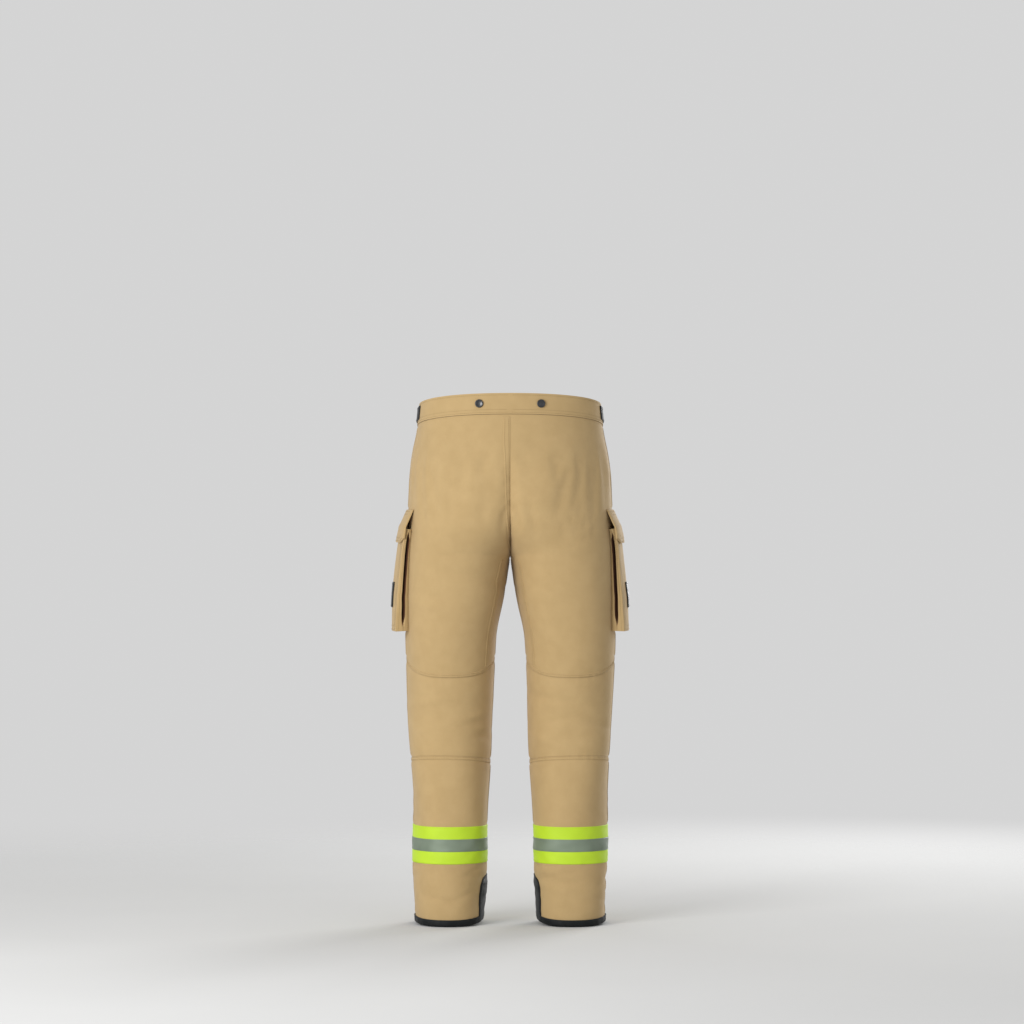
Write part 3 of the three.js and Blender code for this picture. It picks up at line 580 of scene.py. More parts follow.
class Skin:
    """One leg's finished cloth surface, which every piece on it takes its place from."""

    def __init__(self, side, moved=None, moved_row=None):
        self.side = side
        turn, height = np.meshgrid(np.linspace(0, 1, TURNS + 1), np.arange(ROWS) * float(ROW))
        self.points = form(turn, height) * [side, 1, 1]
        self.edge = None
        self.normals = self.faced()
        if moved is not None:
            # Only movement in or out counts, so that seams and trim keep their heights as the cloth sags.
            columns = turn * (moved.shape[1] - 1)
            free = smooth(height, *CUFF_HOLD) * (1 - smooth(height, *WAIST_HOLD))
            free = free * (1 - pocket_hold(turn, height))
            shift = between(moved, height / moved_row, columns)
            outward = (shift * self.normals).sum(-1) * free
            self.points = self.points + outward[..., None] * self.normals
            self.normals = self.faced()
        creased = folds(side, turn, height) * (1 - pocket_hold(turn, height))
        self.points = self.points + creased[..., None] * self.normals
        self.seal_centre(turn, height)
        self.normals = self.faced()
        self.points[..., 2] += hem_lift(turn, height)

    def seal_centre(self, turn, height):
        """Brings the cloth above the crotch onto the middle plane, where it meets the other leg's."""
        edge = ((turn == 0) | (turn == 1)) & (form(turn, height)[..., 0] < 0.01) & (height > CROTCH - 8)
        self.points[..., 0][edge] = 0
        self.edge = edge

    def faced(self):
        """The outward facing at each point; it runs on across the inside of the leg below the crotch."""
        down = np.gradient(self.points, axis=0)
        ring = np.gradient(self.points, axis=1)
        closed_rows = np.arange(ROWS) * ROW <= CROTCH
        seam = (self.points[:, 1] - self.points[:, -2]) / 2
        ring[closed_rows, 0] = ring[closed_rows, -1] = seam[closed_rows]
        normal = np.cross(ring, down) * -self.side
        if self.edge is not None:
            normal[..., 0][self.edge] = 0
        normal /= np.maximum(np.linalg.norm(normal, axis=-1, keepdims=True), 1e-9)
        outward = (normal * (self.points - self.points.mean(axis=1, keepdims=True))).sum()
        return normal if outward > 0 else -normal

    def at(self, turn, height, out=0.0):
        """Points on the cloth, or this far out from it, at places round and up the leg."""
        turn, height, out = np.broadcast_arrays(turn, height, out)
        row, column = height / ROW, turn * TURNS
        place = between(self.points, row, column)
        facing = between(self.normals, row, column)
        facing /= np.maximum(np.linalg.norm(facing, axis=-1, keepdims=True), 1e-9)
        return place + facing * out[..., None]

    def band(self, turn, above):
        """Height of a line that follows the sloping waistband, this far above its lower edge."""
        y = form(turn, np.full(np.shape(turn), WAIST + BAND_TALL / 2.0))[..., 1]
        return WAIST + above + WAIST_SLOPE * y


# ---------------------------------------------------------------- making pieces
class Piece:
    """Closed solids that make up one piece, each with its own finish."""

    def __init__(self, name):
        self.name = name
        self.points, self.faces, self.cloth, self.finish = [], [], [], []
        self.finishes = []

    def add(self, points, faces, finish, cloth=None):
        points = np.asarray(points, float).reshape(-1, 3)
        faces = [tuple(f) for f in faces]
        fan = [(f[0], f[i], f[i + 1]) for f in faces for i in range(1, len(f) - 1)]
        a, b, c = (points[[t[k] for t in fan]] for k in range(3))
        if (a * np.cross(b, c)).sum() < 0:
            faces = [f[::-1] for f in faces]
        first = sum(len(p) for p in self.points)
        if finish not in self.finishes:
            self.finishes.append(finish)
        self.points.append(points)
        self.cloth.append(points[:, [0, 2]] * MM if cloth is None else np.asarray(cloth) * MM)
        self.faces += [tuple(first + i for i in f) for f in faces]
        self.finish += [self.finishes.index(finish)] * len(faces)

    def sheet(self, outer, inner, finish, closed=False):
        """A solid between two grids of points; closed joins its last column to its first."""
        rows, columns = outer.shape[:2]
        layer = rows * columns
        spans = columns if closed else columns - 1
        r, c = np.meshgrid(np.arange(rows - 1), np.arange(spans), indexing="ij")
        a, b = r * columns + c, r * columns + (c + 1) % columns
        d, e = a + columns, b + columns
        faces = [np.stack([a, b, e, d], -1), np.stack([d, e, b, a], -1) + layer]
        c = np.arange(spans)
        n = (c + 1) % columns
        top = (rows - 1) * columns
        walls = [np.stack([n, c, c + layer, n + layer], -1)]
        walls.append(np.stack([c + top, n + top, n + top + layer, c + top + layer], -1))
        if not closed:
            a, d = np.arange(rows - 1) * columns, (np.arange(rows - 1) + 1) * columns
            walls.append(np.stack([a, d, d + layer, a + layer], -1))
            a, d = a + columns - 1, d + columns - 1
            walls.append(np.stack([d, a, a + layer, d + layer], -1))
        quads = [q for part in faces + walls for q in part.reshape(-1, 4).tolist()]
        middle = outer[rows // 2]
        steps = np.linalg.norm(np.diff(middle, axis=0), axis=1)
        across = np.concatenate([[0], np.cumsum(steps)])
        cloth = np.stack([np.broadcast_to(across, (rows, columns)), outer[..., 2]], -1).reshape(-1, 2)
        both = np.concatenate([outer.reshape(-1, 3), inner.reshape(-1, 3)])
        self.add(both, quads, finish, np.concatenate([cloth, cloth]))

    def stitches(self, line, facing, finish, pitch=4.4, long=3.0, wide=0.95, proud=0.55):
        """A row of lock stitches along a line of points: each is a spindle that lies on the cloth."""
        steps = np.linalg.norm(np.diff(line, axis=0), axis=1)
        along = np.concatenate([[0], np.cumsum(steps)])
        middles = np.arange(pitch / 2, along[-1] - pitch / 2, pitch)
        if not len(middles):
            return

        def at(values, where):
            return np.stack([np.interp(where, along, values[:, k]) for k in range(3)], -1)

        tip_a, tip_b = at(line, middles - long / 2), at(line, middles + long / 2)
        up = at(facing, middles)
        up /= np.maximum(np.linalg.norm(up, axis=1, keepdims=True), 1e-9)
        way = tip_b - tip_a
        sideways = np.cross(way, up)
        sideways /= np.maximum(np.linalg.norm(sideways, axis=1, keepdims=True), 1e-9)
        middle = (tip_a + tip_b) / 2
        corners = [tip_a, middle + sideways * wide / 2, middle + up * proud]
        corners += [middle - sideways * wide / 2, middle - up * 0.3, tip_b]
        points = np.stack(corners, 1).reshape(-1, 3)
        spindle = [(0, 1, 2), (0, 2, 3), (0, 3, 4), (0, 4, 1), (5, 2, 1), (5, 3, 2), (5, 4, 3), (5, 1, 4)]
        faces = [tuple(6 * k + i for i in f) for k in range(len(middles)) for f in spindle]
        self.add(points, faces, finish)

    def sew(self, skin, turn, height, out, finish, **stitch):
        """A row of stitches along places round and up the leg."""
        turn, height = np.broadcast_arrays(np.asarray(turn, float), np.asarray(height, float))
        line = skin.at(turn, height, out)
        facing = line - skin.at(turn, height, np.asarray(out) - 1.0)
        self.stitches(line, facing, finish, **stitch)

    def make(self, slot):
        """The piece as one object, with the cloth coordinates that its weave follows."""
        mesh = bpy.data.meshes.new(self.name)
        mesh.from_pydata(to_frame(np.concatenate(self.points)).tolist(), [], self.faces)
        mesh.polygons.foreach_set("material_index", self.finish)
        mesh.polygons.foreach_set("use_smooth", [True] * len(self.faces))
        for finish in self.finishes:
            mesh.materials.append(finish)
        cloth = np.concatenate(self.cloth)
        corners = np.empty(len(mesh.loops), dtype=np.int32)
        mesh.loops.foreach_get("vertex_index", corners)
        mesh.uv_layers.new(name="cloth").data.foreach_set("uv", cloth[corners].ravel())
        mesh.set_sharp_from_angle(angle=math.radians(50))
        made = bpy.data.objects.new(self.name, mesh)
        bpy.context.collection.objects.link(made)
        return made


def rounded(length, step, edge=1.8):
    """Positions from 0 to 1 along a piece's width, and how far its face has risen there from its edge."""
    share = min(edge / length, 0.2)
    inside = np.linspace(share, 1 - share, max(3, int(length / step)))
    near = share * np.array([0, 0.15, 0.5])
    rise = np.array([0.3, 0.68, 0.93])
    places = np.concatenate([near, inside, 1 - near[::-1]])
    return places, np.concatenate([rise, 1 + 0 * inside, rise[::-1]])


def soft_grid(wide, tall, step, step_up=None, edge=1.8):
    """Positions from 0 to 1 across and up a piece, and how far its face has risen at each."""
    u, rise_u = rounded(wide, step, edge)
    v, rise_v = rounded(tall, step_up or step, edge)
    return *np.meshgrid(u, v), np.minimum.outer(rise_v, rise_u)


def patch(piece, skin, across, heights, inner, outer, finish, by_angle=False, step=5, soft=True):
    """A sewn-on piece: rectangular in the cloth's own coordinates, with rounded edges.

    across is the two ends round the leg, heights the two ends up it, as values or functions of the
    cloth coordinate; inner and outer are offsets from the skin, as values or functions of height.
    """
    wide = abs(across[1] - across[0]) * (NEAR_RADIUS if by_angle else ROUND_LEG)
    span = [h(np.array(0.6)) if callable(h) else h for h in heights]
    grid_u, grid_v, rise = soft_grid(wide, abs(float(span[1] - span[0])), step)
    if not soft:
        rise = 1 + 0 * rise
    place = across[0] + (across[1] - across[0]) * grid_u
    low, high = (h(place) if callable(h) else h for h in heights)
    height = low + (high - low) * grid_v
    turn = turn_of(place, height) if by_angle else place
    inside = inner(height) if callable(inner) else inner
    outside = outer(height) if callable(outer) else outer
    face = inside + (outside - inside) * rise
    piece.sheet(skin.at(turn, height, face), skin.at(turn, height, inside + 0 * face), finish)


RING_COUNT = 132
RING_TURNS = np.arange(RING_COUNT) / RING_COUNT


def ring(piece, skin, heights, inner, outer, finish, step=5, soft=True):
    """A piece that goes all the way round one leg."""
    v, rise = rounded(abs(heights[1] - heights[0]), step)
    if not soft:
        rise = 1 + 0 * v
    grid_turn, grid_v = np.meshgrid(RING_TURNS, v)
    height = heights[0] + (heights[1] - heights[0]) * grid_v
    face = inner + (outer - inner) * rise[:, None] + 0 * grid_turn
    lining = skin.at(grid_turn, height, inner + 0 * face)
    piece.sheet(skin.at(grid_turn, height, face), lining, finish, closed=True)


def declare_sheet(made, turns, low, high, rests_on):
    """Works out the plain form between two lines of a panel, and keeps nothing of it."""
    turn, share = np.meshgrid(np.linspace(*turns, 80), np.linspace(0, 1, 120))
    base = low(turn) if callable(low) else low
    top = high(turn) if callable(high) else high
    form(turn, base + (top - base) * share)


def set_on(piece, slot, body, *nodes):
    """Makes a piece that stands for these nodes and rides on one body."""
    made = piece.make(slot)
    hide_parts(*nodes)
    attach(made, body)
    return made


def bend_hip(made):
    """Bakes the piece's placing into its mesh; the cloth round the hip is not bent."""
    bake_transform(made)


def bend_knee(made):
    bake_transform(made)


# ---------------------------------------------------------------- shell and liner
SEAM_WIDE = 7
SEAM_PROUD = 1.0


def felled_seam(piece, skin, turns, line, cloth, thread, below=True):
    """A lapped seam with two rows of stitches, along a line of heights."""
    way = -1 if below else 1
    low, high = sorted((0, way * SEAM_WIDE))
    edges = (lambda t: line(t) + low, lambda t: line(t) + high)
    patch(piece, skin, turns, edges, 0, SEAM_PROUD, cloth, step=3)
    turn = np.linspace(turns[0] + 0.004, turns[1] - 0.004, 240)
    for inset in (0.22, 0.78):
        piece.sew(skin, turn, line(turn) + way * SEAM_WIDE * inset, SEAM_PROUD + 0.1, thread)


def upright_seam(piece, skin, turns, heights, cloth, thread):
    """A lapped seam that runs up the leg between two places round it."""
    patch(piece, skin, turns, heights, 0.05, SEAM_PROUD, cloth, step=4)
    height = np.linspace(heights[0] + 3, heights[1] - 3, 400)
    for inset in (0.22, 0.78):
        turn = turns[0] + (turns[1] - turns[0]) * inset
        piece.sew(skin, turn, height, SEAM_PROUD + 0.1, thread)


SIDE_SEAM = (0.4955, 0.5095)
INSEAM = (0.0, 0.013)
SEAT_SEAM = (0.983, 1.0)
INNER_THIGH_SEAM = (0.899, 0.912)
# The upright seams of each part of the leg: which half they are sewn to, where, and their heights.
# They stop at the pocket, at the reflective trim and at the cuff.
UPPER_SEAMS = (
    ("back", SIDE_SEAM, (543, 589)),
    ("back", SIDE_SEAM, (843, 1004)),
    ("back", INNER_THIGH_SEAM, (521, 738)),
    ("front", INSEAM, (543, 738)),
)
CENTRE_SEAMS = (("back", SEAT_SEAM, (752, 1024)), ("front", INSEAM, (752, 850)))
KNEE_SEAMS = (("back", SIDE_SEAM, (339, 530)), ("front", INSEAM, (335, 530)))
LOWER_SEAMS = (
    ("back", SIDE_SEAM, (17, 123)),
    ("back", SIDE_SEAM, (204, 326)),
    ("front", INSEAM, (204, 320)),
)


def upright_seams(piece, skin, half, seams, looks):
    for sewn_to, turns, heights in seams:
        if sewn_to == half:
            upright_seam(piece, skin, turns, heights, looks["cloth"], looks["thread"])


def shell(skin, side, word, looks):
    cloth, thread = looks["cloth"], looks["thread"]
    top = lambda t: skin.band(t, -0.4)
    knee_gap = 0.3
    halves = {"front": (0.0, 0.4998), "back": (0.5002, 1.0)}
    for half, turns in halves.items():
        upper = Piece(f"{word}_{half}_upper_panel")
        lines = (lambda t: knee_seam_high(t) + knee_gap, top)
        patch(upper, skin, turns, lines, -SHELL, 0, cloth, soft=False)
        felled_seam(upper, skin, turns, lambda t: knee_seam_high(t) + SEAM_WIDE, cloth, thread)
        upright_seams(upper, skin, half, UPPER_SEAMS, looks)
        if side > 0:
            upright_seams(upper, skin, half, CENTRE_SEAMS, looks)
        made = upper.make("shell_cloth")
        declare_sheet(made, turns, knee_seam_high, top, ["waistband"])
        hip = [f"{word}_hip_shell"] if half == "back" else []
        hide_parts(f"{word}_{half}_seat_panel", f"{word}_{half}_thigh_panel", *hip)
        bend_hip(made)

        knee = Piece(f"{word}_{half}_knee_cloth")
        lines = (knee_seam_low, lambda t: knee_seam_high(t) - knee_gap)
        patch(knee, skin, turns, lines, -SHELL, 0, cloth, soft=False)
        upright_seams(knee, skin, half, KNEE_SEAMS, looks)
        made = knee.make("shell_cloth")
        declare_sheet(made, turns, *lines, [f"{word}_{half}_upper_panel"])
        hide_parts(f"{word}_{half}_knee_panel")
        bend_knee(made)

        low_name = "shin" if half == "front" else "calf"
        lower = Piece(f"{word}_{low_name}_cloth")
        lines = (2.5, lambda t: knee_seam_low(t) - knee_gap)
        patch(lower, skin, turns, lines, -SHELL, 0, cloth, soft=False)
        felled_seam(lower, skin, turns, lambda t: knee_seam_low(t) - 1, cloth, thread)
        upright_seams(lower, skin, half, LOWER_SEAMS, looks)
        made = set_on(lower, "shell_cloth", f"{word}_shin", f"{word}_{low_name}_panel")
        declare_sheet(made, turns, *lines, [f"{word}_{half}_knee_cloth"])


# Heights of the liner's three parts, which meet edge to edge.
SHIN_LINING = (4, 329.5)
KNEE_LINING = (330, 511.5)
UPPER_LINER_LOW = 512


def liner(skin, side, word, looks):
    quilt = looks["quilt"]
    top = lambda t: skin.band(t, 1.0)
    upper = Piece(f"{word}_upper_liner")
    patch(upper, skin, (0.0, 1.0), (UPPER_LINER_LOW, top), LINER_IN, LINER_OUT, quilt, step=7, soft=False)
    made = upper.make("liner")
    declare_sheet(made, (0, 1), UPPER_LINER_LOW, top, ["waistband"])
    shared = ["seat_liner"] if side > 0 else []
    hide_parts(f"{word}_hip_liner", f"{word}_thigh_liner", *shared)
    bend_hip(made)
    knee = Piece(f"{word}_knee_lining")
    ring(knee, skin, KNEE_LINING, LINER_IN, LINER_OUT, quilt, step=7, soft=False)
    made = knee.make("liner")
    declare_sheet(made, (0, 1), *KNEE_LINING, [f"{word}_upper_liner"])
    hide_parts(f"{word}_knee_liner")
    bend_knee(made)
    lower = Piece(f"{word}_shin_lining")
    ring(lower, skin, SHIN_LINING, LINER_IN, LINER_OUT, quilt, step=7, soft=False)
    made = set_on(lower, "liner", f"{word}_shin", f"{word}_shin_liner")
    declare_sheet(made, (0, 1), *SHIN_LINING, [f"{word}_knee_lining"])


# ---------------------------------------------------------------- knee, trim and hem
KNEE_MIDDLE = 0.25
KNEE_REACH = 0.146
KNEE_RIM = 12
CORNER_SHARE = 0.22
CORNER_CUT = 0.32


def octagon(share_up):
    """Half width of the knee patch, as a share of its widest, at a share of its height."""
    nearest = np.minimum(share_up, 1 - share_up)
    return 1 - CORNER_CUT * np.clip((CORNER_SHARE - nearest) / CORNER_SHARE, 0, 1)


def octagonal(piece, skin, reach, low, high, faces, finish):
    """An eight-sided sheet on the knee; faces gives its inner and outer offsets from the skin."""
    grid_u, grid_v, rise = soft_grid(2 * reach * ROUND_LEG, high - low, 3.5)
    turn = KNEE_MIDDLE + (2 * grid_u - 1) * reach * octagon(grid_v)
    height = low + (high - low) * grid_v
    inner, outer = faces(grid_u, grid_v, rise)
    piece.sheet(skin.at(turn, height, outer), skin.at(turn, height, inner), finish)


def knee_armour(skin, word, looks):
    low, high = node_heights(f"{word}_knee_patch")

    def pad(u, v, rise):
        dome = smooth(np.minimum(u, 1 - u), 0.0, 0.26) * smooth(np.minimum(v, 1 - v), 0.0, 0.25)
        return 0.4 + 0 * rise, 0.5 + 4.4 * dome

    foam = Piece(f"{word}_knee_pad")
    octagonal(foam, skin, KNEE_REACH - 0.024, low + KNEE_RIM, high - KNEE_RIM, pad, looks["foam"])
    made = foam.make("knee_foam")
    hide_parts(f"{word}_knee_foam")
    bend_knee(made)

    def swell(u, v):
        """The cover swells over the pad inside its sewn border, with a dart up its middle."""
        dome = smooth(np.minimum(u, 1 - u), 0.05, 0.3) * smooth(np.minimum(v, 1 - v), 0.05, 0.28)
        dart = 1.8 * np.exp(-(((u - 0.5) / 0.014) ** 2)) * smooth(np.minimum(v, 1 - v), 0.2, 0.3)
        crown = 1.6 * np.sin(math.pi * u) * np.sin(math.pi * v)
        return 5.2 * dome + crown * dome - dart

    def cover_faces(u, v, rise):
        lift = swell(u, v)
        return 0.35 + np.minimum(lift, 5.0), 0.45 + 1.9 * rise + lift

    cover = Piece(f"{word}_knee_cover")
    octagonal(cover, skin, KNEE_REACH, low, high, cover_faces, looks["coated"])
    for inset in (3.5, 8.0):
        share_u, share_v = inset / (2 * KNEE_REACH * ROUND_LEG), inset / (high - low)
        go, stay = np.linspace(0, 1, 60), np.zeros(60)
        path_u = share_u + (1 - 2 * share_u) * np.concatenate([go, stay + 1, go[::-1], stay])
        path_v = share_v + (1 - 2 * share_v) * np.concatenate([stay, go, stay + 1, go[::-1]])
        turn = KNEE_MIDDLE + (2 * path_u - 1) * KNEE_REACH * octagon(path_v)
        out = 2.45 + swell(path_u, path_v)
        cover.sew(skin, turn, low + (high - low) * path_v, out, looks["black_thread"])
    path_v = np.linspace(0.24, 0.76, 80)
    for way in (-1, 1):  # a row on each side of the dart
        out = 2.4 + swell(0.5 + way * 0.028, path_v)
        turn = KNEE_MIDDLE + way * 0.056 * KNEE_REACH
        cover.sew(skin, turn, low + (high - low) * path_v, out, looks["black_thread"])
    made = cover.make("black_coated_cloth")
    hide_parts(f"{word}_knee_patch")
    bend_knee(made)


def trim(skin, word, looks):
    """A lime band with a silver stripe along its middle, both stitched along their edges."""
    bands = (
        ("lime_trim", "trim_base", "fluorescent_trim", (0.25, 1.25), 2.5, "shin_cloth", looks["lime"]),
        ("silver_trim", "trim_silver", "silver_trim", (1.4, 1.95), 1.8, "lime_trim", looks["silver"]),
    )
    for name, node, slot, (inner, outer), inset, under, finish in bands:
        low, high = node_heights(f"{word}_{node}")
        band = Piece(f"{word}_{name}")
        ring(band, skin, (low, high), inner, outer, finish, step=3)
        for height in (low + inset, high - inset):
            band.sew(skin, np.linspace(0, 1, 300), height, outer + 0.05, finish)
        made = set_on(band, slot, f"{word}_shin", f"{word}_{node}")
        declare_sheet(made, (0, 1), low, high, [f"{word}_{under}"])


def hem(skin, word, looks):
    _, tall = node_heights(f"{word}_hem_binding")
    binding = Piece(f"{word}_cuff_binding")
    # The binding is one strip folded round the raw edge: up the outside, over, and up the inside.
    outline = []
    for angle in np.linspace(0, math.pi, 9):
        middle, half = -2.4, 4.6
        outline.append((middle + half * math.cos(angle), 3.0 - 3.0 * math.sin(angle)))
    path = [(2.2, tall), (2.2, tall * 0.6)] + outline + [(-7.0, tall * 0.6), (-7.0, tall)]
    inner = [(0.35, tall), (0.35, tall * 0.6)]
    inner += [(o * 0.62 - 0.9, h * 0.8 + 1.9) for o, h in outline]
    inner += [(-5.9, tall * 0.6), (-5.9, tall)]
    wave = 0.25 * np.sin(2 * math.pi * RING_TURNS * 23)

    def strip(line):
        rows = [skin.at(RING_TURNS, np.full(RING_COUNT, float(h)), o + wave * (o > 0)) for o, h in line]
        for row, (_, h) in zip(rows, line):
            row[:, 2] = h + hem_lift(RING_TURNS, h)
        return np.stack(rows)

    binding.sheet(strip(path), strip(inner), looks["coated"], closed=True)
    binding.sew(skin, np.linspace(0, 1, 300), tall - 2.5, 2.35, looks["black_thread"])
    set_on(binding, "black_coated_cloth", f"{word}_shin", f"{word}_hem_binding")


GUARD_REACH = 0.084
GUARD_SQUARE = 0.7


def arched(share_up):
    """Half width of the kick guard, as a share of its widest: straight sides under an arched top."""
    above = np.clip((share_up - GUARD_SQUARE) / (1 - GUARD_SQUARE), 0, 0.98)
    return np.sqrt(np.clip(1 - above**2, 0.02, 1))


def kick_guard(skin, word, looks):
    _, low = node_heights(f"{word}_hem_binding")
    _, high = node_heights(f"{word}_ankle_guard")
    guard = Piece(f"{word}_kick_guard")
    grid_u, grid_v, rise = soft_grid(2 * GUARD_REACH * ROUND_LEG, high - low, 3)
    turn = (2 * grid_u - 1) * GUARD_REACH * arched(grid_v) % 1
    height = low - 1 + (high - low) * grid_v
    under = skin.at(turn, height, 0.3 + 0 * rise)
    guard.sheet(skin.at(turn, height, 0.4 + 1.6 * rise), under, looks["coated"])
    share_up = np.linspace(0.03, 0.97, 120)
    for way in (-1, 1):
        line = (way * GUARD_REACH * 0.9 * arched(share_up)) % 1
        guard.sew(skin, line, low + (high - low) * share_up * 0.97, 2.1, looks["black_thread"])
    made = set_on(guard, "black_coated_cloth", f"{word}_shin", f"{word}_ankle_guard")


# ---------------------------------------------------------------- cargo pockets
POCKET_FRONT = math.pi - 0.85
POCKET_BACK = math.pi + 0.42
POCKET_DEEP_LOW = 26
POCKET_DEEP_HIGH = 11
POCKET_FULL = 2.4
FACE_THICK = 2.4
FLAP_THICK = 3.0
FLAP_SIDE = 0.035
PLEAT_DEEP = 9
PLEAT_HALF_WIDE = 3.6
LEG_RADIUS = 105


def pocket(skin, word, looks):
    cloth, thread, dark = looks["cloth"], looks["thread"], looks["pleat"]
    low, high = node_heights(f"{word}_pocket_face")

    def deep(height):
        share = np.clip((height - low) / (high - low), 0, 1)
        return POCKET_DEEP_LOW + (POCKET_DEEP_HIGH - POCKET_DEEP_LOW) * share

    def face_out(height):
        return deep(height) + FACE_THICK

    bellows = Piece(f"{word}_pocket_bellows")
    for edge, inward in ((POCKET_BACK, -1), (POCKET_FRONT, 1)):
        # Each side wall is folded in along its middle; the fold runs out near the pocket's bottom.
        height = np.linspace(low + 0.5, high, 60)
        open_here = smooth(height, low + 8, low + 34) * (1 - smooth(height, high - 24, high - 4))
        half = 0.01 + PLEAT_HALF_WIDE * open_here / deep(height)
        ends = (0 * half, 0.5 - half, 0.5 + half, 1 + 0 * half)
        # The middle strip of each wall, deep in the fold, is cloth coloured with the painted pleat shadow.
        for number, finish in enumerate((cloth, dark, cloth)):
            part = np.linspace(0, 1, 10)[None, :]
            grid_share = ends[number][:, None] * (1 - part) + ends[number + 1][:, None] * part
            grid_height = np.broadcast_to(height[:, None], grid_share.shape)
            off = np.abs(grid_share - 0.5) * deep(grid_height)
            fold = (1 - smooth(off, 0.2, PLEAT_HALF_WIDE)) * open_here[:, None] * PLEAT_DEEP
            bow = 1.6 * np.sin(math.pi * grid_share) * (1 - fold / PLEAT_DEEP)
            angle = edge + inward * (fold - bow) / LEG_RADIUS
            out = 0.4 + (deep(grid_height) - 0.6) * grid_share
            wall = inward * 1.5 / LEG_RADIUS
            near = skin.at(turn_of(angle, grid_height), grid_height, out)
            far = skin.at(turn_of(angle + wall, grid_height), grid_height, out)
            bellows.sheet(near, far, finish)
        for share in (0.12, 0.88):
            out = 0.4 + (deep(height) - 0.6) * share
            turn = turn_of(edge - inward * 1.0 / LEG_RADIUS, height)
            line = skin.at(turn, height, out)
            beside = skin.at(turn_of(edge + inward * 0.02, height), height, out)
            bellows.stitches(line, line - beside, thread)
    angle, share = np.meshgrid(np.linspace(POCKET_FRONT, POCKET_BACK, 40), np.linspace(0, 1, 8))
    out = 0.4 + (POCKET_DEEP_LOW - 0.6) * share
    floor = np.full(angle.shape, low + 0.2)
    bottom = skin.at(turn_of(angle, floor), floor, out)
    lifted = skin.at(turn_of(angle, floor + 2.0), floor + 2.0, out)
    bellows.sheet(bottom, lifted, cloth)
    set_on(bellows, "shell_cloth", f"{word}_thigh", f"{word}_pocket_gusset")

    front = Piece(f"{word}_pocket_front")
    grid_u, grid_v, rise = soft_grid((POCKET_BACK - POCKET_FRONT) * LEG_RADIUS, high - low, 5)
    angle = POCKET_FRONT + (POCKET_BACK - POCKET_FRONT) * grid_u
    height = low + (high - low) * grid_v
    fullness = POCKET_FULL * np.sin(math.pi * grid_u) * np.sin(math.pi * grid_v)
    fullness += 0.5 * np.sin(9 * grid_u + 5 * grid_v) * np.sin(math.pi * grid_v)
    turn = turn_of(angle, height)
    inside = deep(height) + fullness
    front.sheet(skin.at(turn, height, inside + FACE_THICK * rise), skin.at(turn, height, inside), cloth)
    for inset in (4, 11):
        sides = inset / LEG_RADIUS
        up = np.linspace(low + inset, high - 2, 120)
        for edge in (POCKET_FRONT + sides, POCKET_BACK - sides):
            front.sew(skin, turn_of(edge, up), up, face_out(up) + 0.5, thread)
        along = np.linspace(POCKET_FRONT + sides, POCKET_BACK - sides, 120)
        level = np.full(120, low + inset)
        bulge = POCKET_FULL * np.sin(math.pi * np.linspace(0.03, 0.97, 120))
        bulge = bulge * math.sin(math.pi * inset / (high - low))
        front.sew(skin, turn_of(along, level), level, face_out(level) + bulge + 0.3, thread)
    made = set_on(front, "shell_cloth", f"{word}_thigh", f"{word}_pocket_face")
    skin.at(turn, height, deep(height))

    tab_low, tab_high = node_heights(f"{word}_pocket_tab")
    tab = Piece(f"{word}_pocket_pull")
    across = (math.pi - 0.5, math.pi + 0.16)
    faces = (lambda h: face_out(h) + 2.0, lambda h: face_out(h) + 4.3)
    patch(tab, skin, across, (tab_low, tab_high), *faces, looks["coated"], by_angle=True, step=4)
    for level in (tab_low + 4, tab_high - 4):
        along = np.linspace(across[0] + 0.03, across[1] - 0.03, 60)
        row = np.full(60, level)
        tab.sew(skin, turn_of(along, row), row, face_out(row) + 4.5, looks["black_thread"])
    set_on(tab, "black_coated_cloth", f"{word}_thigh", f"{word}_pocket_tab")

    flap_low, flap_high = node_heights(f"{word}_pocket_flap")
    shoulder = high + 4
    lift = face_out(high) + 1.3

    def under(height):
        hanging = face_out(np.minimum(height, high)) + 1.3
        leaning = 0.5 + (lift - 0.5) * (flap_high - height) / (flap_high - shoulder)
        return np.where(height <= shoulder, hanging, leaning)

    flap = Piece(f"{word}_pocket_lid")
    across = (POCKET_FRONT - FLAP_SIDE, POCKET_BACK + FLAP_SIDE)
    grid_u, grid_v, rise = soft_grid((across[1] - across[0]) * LEG_RADIUS, flap_high - flap_low, 5, 3)
    angle = across[0] + (across[1] - across[0]) * grid_u
    corner = 9 * (1 - smooth(np.minimum(grid_u, 1 - grid_u), 0, 0.09)) * (1 - grid_v)
    height = flap_low + (flap_high - flap_low) * grid_v + corner
    turn = turn_of(angle, height)
    inside = under(height) + 1.4 * np.sin(math.pi * grid_u) * (1 - grid_v)
    flap.sheet(skin.at(turn, height, inside + FLAP_THICK * rise), skin.at(turn, height, inside), cloth)
    for inset in (4, 10):
        along = np.linspace(across[0] + inset / LEG_RADIUS, across[1] - inset / LEG_RADIUS, 140)
        part = np.linspace(0.03, 0.97, 140)
        level = flap_low + inset + 9 * (1 - smooth(np.minimum(part, 1 - part), 0, 0.09))
        out = under(level) + FLAP_THICK + 0.2 + 1.3 * np.sin(math.pi * part)
        flap.sew(skin, turn_of(along, level), level, out, thread)
        level = np.full(140, flap_high - inset)
        flap.sew(skin, turn_of(along, level), level, under(level) + FLAP_THICK + 0.2, thread)
    made = set_on(flap, "shell_cloth", f"{word}_flap", f"{word}_pocket_flap")
    skin.at(turn, height, under(height))


